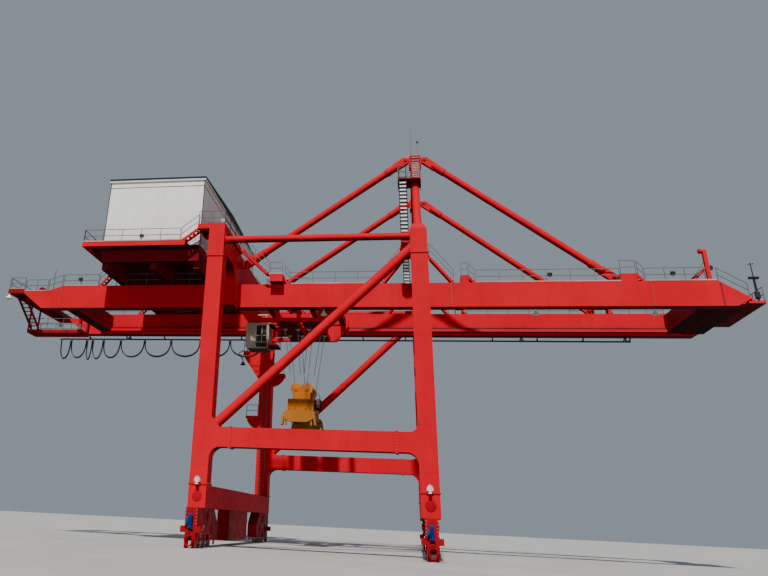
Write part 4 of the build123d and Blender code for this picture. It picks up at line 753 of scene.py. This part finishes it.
def cone_lamp(piece, looks, top, reach):
    """A lamp shade on a short stem, open downward. The looks are its shade and the glass inside."""
    piece.use(looks[0])
    piece.tube(top, top - 0.07 * UP, STEM_RADIUS, 10)
    shade = ((0, 0.03), (0.05, 0.045), (0.14, reach * 0.7), (0.19, reach), (0.2, reach),
             (0.195, reach - 0.006), (0.15, reach * 0.7))
    piece.turned(top - 0.05 * UP, -UP, shade)
    piece.use(looks[1])
    piece.turned(top - 0.19 * UP, -UP, ((0, reach * 0.72), (0.02, reach * 0.6), (0.03, reach * 0.2)))


def lamp_fork(piece, foot, root, head, out):
    """A short stem and a bent fork that holds a lamp's head on both sides."""
    piece.tube(foot, foot + STEM_TALL * UP, STEM_RADIUS, 10)
    for end in SIDES:
        piece.line([foot + root * UP, foot + end * out + 0.06 * UP, head + end * out], FORK_RADIUS, 6)


def bowl_lamp(piece, looks, foot, facing):
    """A round floodlight in a forked bracket. The looks are its casing and its glass."""
    look = (Vector(facing).normalized() - 0.35 * UP).normalized()
    out = look.cross(UP).normalized()
    head = foot + 0.15 * UP
    piece.use(looks[0])
    lamp_fork(piece, foot, 0.04, head, out * 0.1)
    piece.turned(head - look * 0.09, look, BOWL, 24)
    piece.use(looks[1])
    piece.turned(head + look * 0.025, look, BOWL_GLASS, 24)


def flood_lamp(piece, looks, foot, facing, tilt):
    """A box floodlight in a forked bracket, tilted down. The looks are its casing and its glass."""
    look = Vector(facing).normalized()
    out = look.cross(UP).normalized()
    down = (look * math.cos(tilt) - UP * math.sin(tilt)).normalized()
    head = foot + 0.13 * UP + look * 0.05
    turn_head = Matrix((out, out.cross(down), -down)).transposed().to_4x4()
    piece.use(looks[0])
    lamp_fork(piece, foot, STEM_TALL, head, out * 0.09)
    for finish, size, depth in zip(looks, (FLOOD_CASE, FLOOD_GLASS), (0.0, 0.052)):
        piece.use(finish)
        piece.cube(Matrix.Translation(head + down * depth) @ turn_head @ Matrix.Diagonal((*size, 1.0)))


# Lamps: floodlights on the leg feet and cone shades under the girders
FOOT_SHELF_Y = (12.66, 13.0)
FOOT_SHELF_Z = (4.0, 4.06)
FOOT_LAMP_Y = 12.86
GIRDER_LAMPS = (-8.1, 9.24, 18.24)
piece = Piece(white, lens, black)
for rail, side in CORNERS:
    piece.use(white)
    piece.plate(about(rail, 0.12), [side * y for y in FOOT_SHELF_Y], FOOT_SHELF_Z, 0.004)
    bowl_lamp(piece, (white, lens), at(rail, side * FOOT_LAMP_Y, FOOT_SHELF_Z[1]), (0, side, 0))
for x in GIRDER_LAMPS:
    # Painted shade: the shades under the far girder are black, the near ones white
    for side, shade in zip(SIDES, (white, black)):
        cone_lamp(piece, (shade, lens), at(x, side * (GIRDER_IN + 0.2), GIRDER_LOW), 0.14)
piece.done("lamp_heads", "crane", ("work_lamps",))

# Dark lamps on the near handrails and the house deck's edge, and one under the far girder
RAIL_LAMPS = ((-30.4, -5.66, 20.86), (10.5, -5.66, 20.86), (19.8, -5.66, 20.86), (-22.6, -11.94, 22.63))
dark_looks = (black, tinted)
piece = Piece(*dark_looks)
for place in RAIL_LAMPS:
    flood_lamp(piece, dark_looks, at(*place), (0, -1, 0), 0.5)
# Painted shade: the lamp under the far girder is black
cone_lamp(piece, dark_looks, at(-29.1, 5.0, GIRDER_LOW), 0.13)
piece.done("rail_lamps", "crane")

# White lamps on the landside leg top, at the tail's corners and on an arm under the tail
TAIL_ARM = ((-0.9, 17.6), (-0.9, 18.05), (-1.15, 18.05))
TAIL_ARM_X = -31.9
white_looks = (white, lens)
piece = Piece(*white_looks)
flood_lamp(piece, white_looks, at(-15.6, -12.3, 23.64), (0.4, -1, 0), 0.6)
cone_lamp(piece, white_looks, at(-37.3, -5.6, 19.9), 0.16)
cone_lamp(piece, white_looks, at(-37.1, 5.3, 19.86), 0.13)
piece.use(white)
piece.line([at(TAIL_ARM_X, y, z) for y, z in TAIL_ARM], 0.014, 8)
cone_lamp(piece, white_looks, at(TAIL_ARM_X, -1.15, 18.07), 0.14)
piece.done("white_lamps", "crane")

# Rubber cable loops on the far side of the boom, hung from small carriers on the track
TRACK_Y = 6.07
TRACK_LOW = 18.16
LOOP_WIDTHS = (1.15, 1.75, 0.65, 1.2, 1.9, 2.6, 2.85, 3.1, 3.1, 3.4)
LOOP_START = -37.1
LOOP_DEEP = 1.95
STRANDS = ((-0.05, 0.0), (0.05, 0.07))
CARRIER_WHEEL = ((0, 0.03), (0.012, 0.03))
piece = Piece(cable, steel)
carriers = list(accumulate(LOOP_WIDTHS, initial=LOOP_START))
piece.use(steel)
for x in carriers:
    piece.plate(about(x, 0.12), about(TRACK_Y, 0.09), (TRACK_LOW - 0.16, TRACK_LOW - 0.02), 0.006)
    for way in SIDES:
        for axle in about(x, 0.07):
            piece.turned(at(axle, TRACK_Y + way * 0.065, TRACK_LOW + 0.04), (0, way, 0), CARRIER_WHEEL, 12)
piece.use(cable)
for start, width in zip(carriers, LOOP_WIDTHS):
    for shift, extra in STRANDS:
        deep = LOOP_DEEP - 0.16 * width + extra
        piece.line([at(start + width / 2 - math.cos(a) * (width / 2 - 0.06), TRACK_Y + shift,
                       TRACK_LOW - 0.14 - deep * math.sin(a) ** 0.75)
                    for a in spread(0, math.pi, 25)], 0.024, 8)
piece.done("festoon_loops", "crane", ("festoon_cables",),
           ("crane", "trolley", at(LOOP_START, TRACK_Y, TRACK_LOW), at(carriers[-1], TRACK_Y, TRACK_LOW)))

# Hoist ropes: each goes down, round its sheave and up again
HOIST_X = -10.35
ROPE_LINE = 1.3
LOBE_Z = 12.37
LOBE_OFFSET = 0.465
ROPE_TOP = 17.62
ROPE_TOPS = (0.5, 1.65)
ROPE_REACH = 0.412
ROPE_RADIUS = 0.026
piece = Piece(wire)
for side in SIDES:
    y = side * ROPE_LINE
    for end in SIDES:
        middle = HOIST_X + end * LOBE_OFFSET
        top_inner, top_outer = (at(HOIST_X + end * reach, y, ROPE_TOP) for reach in ROPE_TOPS)
        falls = straight(top_inner, at(middle - end * ROPE_REACH, y, LOBE_Z), 12)
        falls += [at(middle - end * ROPE_REACH * math.cos(a), y, LOBE_Z - ROPE_REACH * math.sin(a))
                  for a in spread(0.2, math.pi - 0.2, 11)]
        falls += straight(at(middle + end * ROPE_REACH, y, LOBE_Z), top_outer, 12)
        piece.line(falls, ROPE_RADIUS * M, 8)
piece.done("hoist_rope_falls", "trolley", ("hoist_ropes",),
           ("trolley", "spreader", at(HOIST_X, 0, ROPE_TOP), at(HOIST_X, 0, LOBE_Z + 0.2)))

# Grooved sheaves in the head block, with hubs and pins
SHEAVE = ((0, 0.03), (0, 0.06), (0.012, 0.065), (0.015, 0.15), (0, 0.165), (0, 0.188), (0.02, 0.184),
          (0.035, 0.176), (0.05, 0.184), (0.07, 0.188), (0.07, 0.165), (0.055, 0.15), (0.058, 0.065),
          (0.07, 0.06), (0.07, 0.03))
SHEAVE_HALF = 0.07
SHEAVE_PIN_HALF = 0.08
piece = Piece(steel)
for side in SIDES:
    y = side * ROPE_LINE
    for x in about(HOIST_X, LOBE_OFFSET):
        piece.turned(at(x, y - SHEAVE_HALF, LOBE_Z), (0, 1, 0), SHEAVE, 36)
        piece.tube(*(at(x, end, LOBE_Z) for end in about(y, SHEAVE_PIN_HALF)), 0.04)
piece.done("head_block_sheaves", "spreader", ("block_sheaves",))

# Head block fittings: hub covers, bolts, side ribs, locking pins, and a basket with the coiled hose
BLOCK_FACE = 0.25
BLOCK_SIDE = 2.0
HUB_COVER = ((0, 0.12), (0.012, 0.12), (0.02, 0.1), (0.02, 0.06), (0.04, 0.055), (0.045, 0.03))
LOCK_PIN = ((0, 0.05), (0.05, 0.05), (0.05, 0.08), (0.1, 0.08))
BASKET_X = (-9.2, -8.72)
BASKET_Y = (-1.5, -0.3)
BASKET_Z = (10.75, 11.5)
BASKET_WIRE = 0.009
COIL_X = sum(BASKET_X) / 2
COIL_Y = sum(BASKET_Y) / 2
HOSE_RADIUS = 0.02
HOSE_END = ((0.11, 0, 11.45), (0.16, -0.1, 11.8), (0.01, -0.2, 12.05), (-0.24, -0.25, 11.95),
            (-0.39, -0.25, 11.55))
piece = Piece(yellow, steel, black, hose)
for side in SIDES:
    for face in SIDES:
        out = (0, face, 0)
        for x in about(HOIST_X, LOBE_OFFSET):
            hub = at(x, side * ROPE_LINE + face * BLOCK_FACE, LOBE_Z)
            piece.use(yellow)
            piece.turned(hub, out, HUB_COVER)
            piece.use(steel)
            piece.bolts([hub + Vector((dx, face * 0.012, dz)) for dx, dz in circle(0.095, ring(8))],
                        out, SMALL_BOLT)
            piece.bolts([hub + Vector((dx, 0, dz)) for dx, dz in circle(0.2, spread(0.6, 2.5, 6))], out, BOLT)
    piece.use(yellow)
    for dx in (-0.9, -0.45, 0.45, 0.9):
        piece.plate(about(HOIST_X + dx, 0.03), (side * BLOCK_SIDE, side * (BLOCK_SIDE + 0.1)), (10.66, 11.4))
    for y in (-1.6, -0.55, 0.55, 1.6):
        piece.turned(at(HOIST_X + side * 0.85, y, 10.6), -UP, LOCK_PIN)
    piece.use(steel)
    piece.bolts([at(x, side * BLOCK_SIDE, z)
                 for x in spread(*about(HOIST_X, 1.05), 9) for z in (10.68, 11.38)], (0, side, 0), BOLT)
piece.use(black)
for x in BASKET_X:
    for y in spread(*BASKET_Y, 5):
        piece.tube(*(at(x, y, z) for z in BASKET_Z), BASKET_WIRE, 6)
for z in spread(*BASKET_Z, 3):
    corners = [at(BASKET_X[i], BASKET_Y[j], z) for i, j in ((0, 0), (1, 0), (1, 1), (0, 1))]
    for a, b in zip(corners, corners[1:] + corners[:1]):
        piece.tube(a, b, BASKET_WIRE, 6)
piece.plate(BASKET_X, BASKET_Y, (BASKET_Z[0] - 0.03, BASKET_Z[0]))
piece.use(hose)
for n in range(7):
    grow = 1.0 - 0.03 * (n % 3)
    piece.line([at(COIL_X + 0.17 * grow * math.cos(a), COIL_Y + 0.5 * grow * math.sin(a),
                   BASKET_Z[0] + 0.08 + n * 0.11) for a in ring(32)], HOSE_RADIUS, 8, True)
piece.line([at(COIL_X + dx, COIL_Y + dy, z) for dx, dy, z in HOSE_END], HOSE_RADIUS, 8)
piece.done("head_block_fittings", "spreader")

# Spreader fittings: hydraulic boxes, the hinges of the guide arms, corner pins and hoses
SPREADER_TOP = 10.35
CORNER_PIN = ((0, 0.045), (0.03, 0.045), (0.05, 0.03), (0.075, 0.012))
SPREADER_HOSE = ((0.3, 1.2, 0.2), (0.6, 1.6, 0.3), (0.85, 2.1, 0.12), (0.9, 2.8, 0.04))
piece = Piece(yellow, steel, black)
for side in SIDES:
    piece.use(yellow)
    piece.plate(about(HOIST_X, 0.5), about(side * 1.5, 0.35), (SPREADER_TOP, SPREADER_TOP + 0.2), 0.01)
    piece.use(steel)
    for end in SIDES:
        x = HOIST_X + end * 1.28
        for z in (SPREADER_TOP - 0.15, SPREADER_TOP - 0.45):
            piece.tube(at(x, side * 2.5, z), at(x, side * 3.08, z), 0.03)
        piece.turned(at(HOIST_X + end * 1.06, side * 2.89, 9.3), -UP, CORNER_PIN)
    piece.use(black)
    piece.line([at(HOIST_X + dx, side * dy, SPREADER_TOP + dz) for dx, dy, dz in SPREADER_HOSE], 0.014)
piece.done("spreader_fittings", "spreader")

# Trolley wheels with flanges
TROLLEY_OUT = 4.16
ROLLER_RADIUS = 0.3 * M
rollers_low, rollers_high = (Vector(corner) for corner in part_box("trolley_wheels"))
axle_z = (rollers_low.z + rollers_high.z) / 2
roller_long = rollers_high.y - TROLLEY_OUT * M
ROLLER = ((0, 0.06), (0, 0.1), (roller_long * 0.3, 0.1), (roller_long * 0.32, 0.15), (roller_long, 0.149),
          (roller_long, 0.1), (roller_long * 0.9, 0.08), (roller_long * 0.9, 0.04))
piece = Piece(steel)
for x in (rollers_low.x + ROLLER_RADIUS, rollers_high.x - ROLLER_RADIUS):
    for side in SIDES:
        piece.turned((x, side * TROLLEY_OUT * M, axle_z), (0, side, 0), ROLLER, 32)
piece.done("trolley_wheel_discs", "trolley", ("trolley_wheels",))

# Trolley frame: bolts, ribs, a cable duct and the sheaves where the ropes come down
TROLLEY_X = -11.35
TROLLEY_IN = 3.76
DUCT_Y = 3.72
DUCT_Z = 19.2
DUCT_HALF = 4.4
FRAME_SHEAVE_Z = 17.72


def small_sheave(hub, rim_radius):
    """The profile of a sheave with a shallow groove."""
    return ((0, hub), (0, rim_radius), (0.02, rim_radius), (0.03, rim_radius - 0.015), (0.04, rim_radius),
            (0.06, rim_radius), (0.06, hub))


piece = Piece(red, bolt_steel, black, steel)
for side in SIDES:
    piece.use(bolt_steel)
    for way, y in ((1, TROLLEY_OUT), (-1, TROLLEY_IN)):
        piece.bolts([at(TROLLEY_X + dx, side * y, z) for dx in (-3.3, -2.85, -0.95, 0.95, 2.85, 3.3)
                     for z in spread(17.8, 19.4, 7)], (0, side * way, 0), BOLT)
    piece.use(red)
    for x in spread(*about(TROLLEY_X, 4.2), 8):
        piece.plate(about(x, 0.02), (side * TROLLEY_OUT, side * (TROLLEY_OUT + 0.08)), (19.1, 19.7))
    piece.use(black)
    piece.line([at(x, side * DUCT_Y, DUCT_Z) for x in about(TROLLEY_X, DUCT_HALF)], 0.02, 8)
    piece.use(steel)
    for x in (x for reach in ROPE_TOPS for x in about(HOIST_X, reach)):
        piece.turned(at(x, side * ROPE_LINE - 0.06, FRAME_SHEAVE_Z), (0, 1, 0), small_sheave(0.04, 0.12), 28)
piece.done("trolley_fittings", "trolley")

# Cab: low panes, window bars, doors with handles, sun visor, wipers and roof rails
CAB_BACK = -15.67
CAB_FRONT = -13.6
CAB_TOP = 18.25
CAB_HALF = 1.0
PANE_HALF = 0.02
BAR_HALF = 0.025
BAR_OUT = 0.03
LOW_PANE_Z = (16.06, 16.47)
WINDOW_Z = (16.5, 18.05)
WINDOW_RAIL_Z = 17.1
SIDE_PANE_X = (-14.7, -13.7)
SIDE_BARS_X = (-14.72, -14.18, -13.72)
SIDE_RAILS_X = (-14.74, -13.7)
DOOR_X = (-15.5, -14.95)
DOOR_Z = (16.3, 18.0)
HANDLE_X = -15.02
HANDLE_Z = (16.9, 17.3)
VISOR_Z = (18.12, 18.17)
WIPER = ((-13.55, 0.0, 18.0), (-13.53, 0.12, 17.6), (-13.54, 0.25, 17.2))
piece = Piece(white, black, cab_paint, tinted)
piece.use(tinted)
piece.plate(about(CAB_FRONT, PANE_HALF), about(0, 0.86), LOW_PANE_Z)
for side in SIDES:
    y = side * CAB_HALF
    piece.use(tinted)
    piece.plate(SIDE_PANE_X, about(y, PANE_HALF), LOW_PANE_Z)
    piece.use(cab_paint)
    for x in SIDE_BARS_X:
        piece.plate(about(x, BAR_HALF), about(y, BAR_OUT), WINDOW_Z, 0.003)
    for z in (*WINDOW_Z, WINDOW_RAIL_Z):
        piece.plate(SIDE_RAILS_X, about(y, BAR_OUT), about(z, BAR_HALF), 0.003)
    piece.plate(DOOR_X, about(y, 0.015), DOOR_Z, 0.004)
    piece.tube(*(at(x, side * 0.9, CAB_TOP + 0.1) for x in (CAB_BACK + 0.1, CAB_FRONT - 0.1)), 0.014, 8)
    piece.use(black)
    piece.tube(*(at(HANDLE_X, y + side * 0.05, z) for z in HANDLE_Z), 0.01, 8)
    piece.line([at(x, side * 0.4 + dy, z) for x, dy, z in WIPER], 0.007, 6)
piece.plate((CAB_FRONT, CAB_FRONT + 0.45), about(0, CAB_HALF), VISOR_Z, 0.004)
piece.use(white)
for y in spread(-0.88, 0.88, 4):
    piece.plate(about(CAB_FRONT, PANE_HALF), about(y, BAR_HALF), WINDOW_Z, 0.003)
for z in WINDOW_Z:
    piece.plate(about(CAB_FRONT, PANE_HALF), about(0, 0.9), about(z, BAR_HALF), 0.003)
piece.done("cab_fittings", "trolley")

# Ladder on the far landside leg
LADDER_Y = 11.3
LADDER_HALF = 0.25
LADDER_LOW = 4.1
LADDER_HIGH = 15.3
RUNG_PITCH = 0.33
ladder_x = about(-GAUGE, LADDER_HALF)
piece = Piece(grey)
for x in ladder_x:
    piece.beam(at(x, LADDER_Y, LADDER_LOW), at(x, LADDER_Y, LADDER_HIGH), 0.022, 0.022)
for z in spread(LADDER_LOW + 0.2, LADDER_HIGH - 0.1, int((LADDER_HIGH - LADDER_LOW) / RUNG_PITCH)):
    piece.tube(*(at(x, LADDER_Y, z) for x in ladder_x), 0.009, 6)
piece.done("leg_ladder", "crane")

# Steps with dark stiles up the outside of the mast heads
STEPS_X = 0.12
STEP_HALF = 0.32
STILE_HALF = 0.36
STILE_Z = (29.0, 31.64, 32.4)
MAST_LEAN = (LEG_LINE - GIRDER_HALF) / (APEX - MAST_FOOT)


def mast_front(z):
    """Y just outside the leaning mast at a height, or outside its head."""
    return GIRDER_HALF + max((APEX - z) * MAST_LEAN + 0.5, 0.72)


piece = Piece(toe_highlight_paint, red_worn_and_shaded)
for side in SIDES:
    piece.use(red_worn_and_shaded)
    for x in about(STEPS_X, STILE_HALF):
        foot, bend, top = (at(x, side * mast_front(z), z) for z in STILE_Z)
        piece.beam(foot, bend, 0.04, 0.04)
        piece.beam(bend, top, 0.04, 0.04)
    # The treads' pale colour is a painted highlight
    piece.use(toe_highlight_paint)
    for z in spread(29.2, 32.3, 13):
        piece.plate(about(STEPS_X, STEP_HALF), about(side * mast_front(z), 0.05), (z, z + 0.09))
piece.done("mast_head_steps", "crane")

# Treads of the mast ladders
TREAD_X = -1.04
TREAD_HALF = 0.262
TREAD_PITCH = 1 / 3
mast_ladder_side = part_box("mast_ladder")[1][1] / M
piece = Piece(white)
for side in SIDES:
    y = side * (mast_ladder_side - 0.035)
    for n in range(1, 17):
        z = MAST_FOOT + n * TREAD_PITCH
        piece.plate(about(TREAD_X, TREAD_HALF), (y - 0.03, y + side * 0.4), about(z, 0.05))
piece.done("mast_ladder_treads", "crane")

# Floor between the girder noses, in the darkened red that paints in its shade
NOSE_FLOOR_X = (22.95, 24.6)
NOSE_FLOOR_Z = (18.62, 18.72)
piece = Piece(red_painted_shade)
piece.plate(NOSE_FLOOR_X, about(0, GIRDER_IN), NOSE_FLOOR_Z)
piece.done("nose_floor", "crane")

# Davit tackle and brace, lamp and wind gauge on the nose post, and the knob on the short rod
DAVIT_Y = -5.42
DAVIT_CAP = ((0, 0.075), (0.02, 0.1), (0.08, 0.11), (0.12, 0.09), (0.14, 0.04))
POST_LAMP = ((0, 0.05), (0.02, 0.1), (0.24, 0.1), (0.27, 0.04))
GAUGE_HUB = ((0, 0.02), (0.03, 0.03), (0.045, 0.012))
GAUGE_CUP = ((0, 0.028), (0.012, 0.026), (0.026, 0.008))
KNOB = ((0, 0.02), (0.02, 0.04), (0.06, 0.045), (0.1, 0.03), (0.11, 0.01))
KNOB_Z = 34.0 * M
post_low, post_high = (Vector(corner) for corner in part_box("nose_lamp_post"))
post_x, post_y = ((post_low + post_high) / 2).xy
rods_low, rods_high = (Vector(corner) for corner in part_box("aerials"))
piece = Piece(black, red)
piece.use(red)
piece.turned(at(22.32, DAVIT_Y, 23.0), (-1, 0, 0), DAVIT_CAP)
piece.use(black)
piece.turned(at(22.72, DAVIT_Y - 0.08, 21.6), (0, 1, 0), small_sheave(0.03, 0.1), 24)
piece.line([at(21.16, DAVIT_Y, 20.55), at(22.46, DAVIT_Y, 22.3)], 0.008, 6)
piece.line([at(20.95, DAVIT_Y, 20.52), at(22.35, DAVIT_Y, 21.6)], 0.03, 8)
piece.turned((post_x, post_y, post_low.z + 0.12), UP, POST_LAMP)
piece.turned((post_x, post_y, post_high.z - 0.04), UP, GAUGE_HUB)
hub = Vector((post_x, post_y, post_high.z - 0.015))
for dx, dy in circle(0.09, ring(3)):
    cup = hub + Vector((dx, dy, 0))
    piece.line([hub, cup], 0.004, 6)
    piece.turned(cup, (-dy, dx, 0), GAUGE_CUP, 12)
piece.turned((rods_high.x - 0.015, (rods_low.y + rods_high.y) / 2, KNOB_Z - 0.05), UP, KNOB)
piece.done("nose_and_mast_fittings", "crane")

# Cable drum and a rod on the near tail shelf
DRUM = ((0, 0.05), (0, 0.15), (0.02, 0.15), (0.03, 0.11), (0.17, 0.11), (0.18, 0.15), (0.2, 0.15),
        (0.2, 0.05))
ROD_X = -33.3
ROD_Y = -5.1
piece = Piece(red_worn_and_shaded, grey)
piece.turned(at(-34.25, -5.4, 20.22), (0, 1, 0), DRUM, 28)
piece.use(grey)
piece.tube(at(ROD_X, ROD_Y, 20.0), at(ROD_X, ROD_Y, 22.24), 0.016, 8)
piece.done("tail_drum_and_rod", "crane")

# Lamp arm and a post beside the boarding platform
ARM_Y = 11.2
ARM = ((-17.4, 17.9), (-18.6, 18.2), (-18.95, 17.95), (-18.7, 17.5), (-18.5, 17.2))
piece = Piece(black, lens)
arm = [at(x, ARM_Y, z) for x, z in ARM]
piece.line(arm, 0.026, 8)
cone_lamp(piece, (black, lens), arm[-1], 0.15)
piece.use(black)
piece.tube(at(-18.1, ARM_Y, 18.0), at(-18.1, ARM_Y, 19.0), 0.02, 8)
piece.done("boarding_lamp_arm", "crane")

# Floor and light: a pale floor, an even sky and one high sun, almost straight from the front
FLOOR_SIZE = 300
FLOOR_Z = -0.002
SKY_COLOUR = (0.5, 0.58, 0.68, 1.0)
SKY_STRENGTH = 0.5
SUN_COLOUR = (1.0, 0.96, 0.9)
SUN_STRENGTH = 5.4
SUN_SPREAD = 0.03
SUN_FROM_ABOVE = math.radians(42)
SUN_TURN = math.radians(-1)
bpy.ops.mesh.primitive_plane_add(size=FLOOR_SIZE, location=(0, 0, FLOOR_Z))
floor = bpy.context.object
floor.name = "floor"
ground = Finish("floor", "crane_red")
pale = ground.mix(ground.levels(ground.cloud(0.25), 0.4, 0.7), (0.37, 0.365, 0.355), (0.42, 0.415, 0.405))
floor.data.materials.append(ground.finish(pale, ground.gloss(0.6, 0.8, 0.95)).material)
world = bpy.data.worlds.new("even_sky")
bpy.context.scene.world = world
world.use_nodes = True
sky = world.node_tree.nodes["Background"]
sky.inputs["Color"].default_value = SKY_COLOUR
sky.inputs["Strength"].default_value = SKY_STRENGTH
sun_data = bpy.data.lights.new("sun", "SUN")
sun_data.energy = SUN_STRENGTH
sun_data.angle = SUN_SPREAD
sun_data.color = SUN_COLOUR
placed("sun", sun_data).rotation_euler = (SUN_FROM_ABOVE, 0, SUN_TURN)
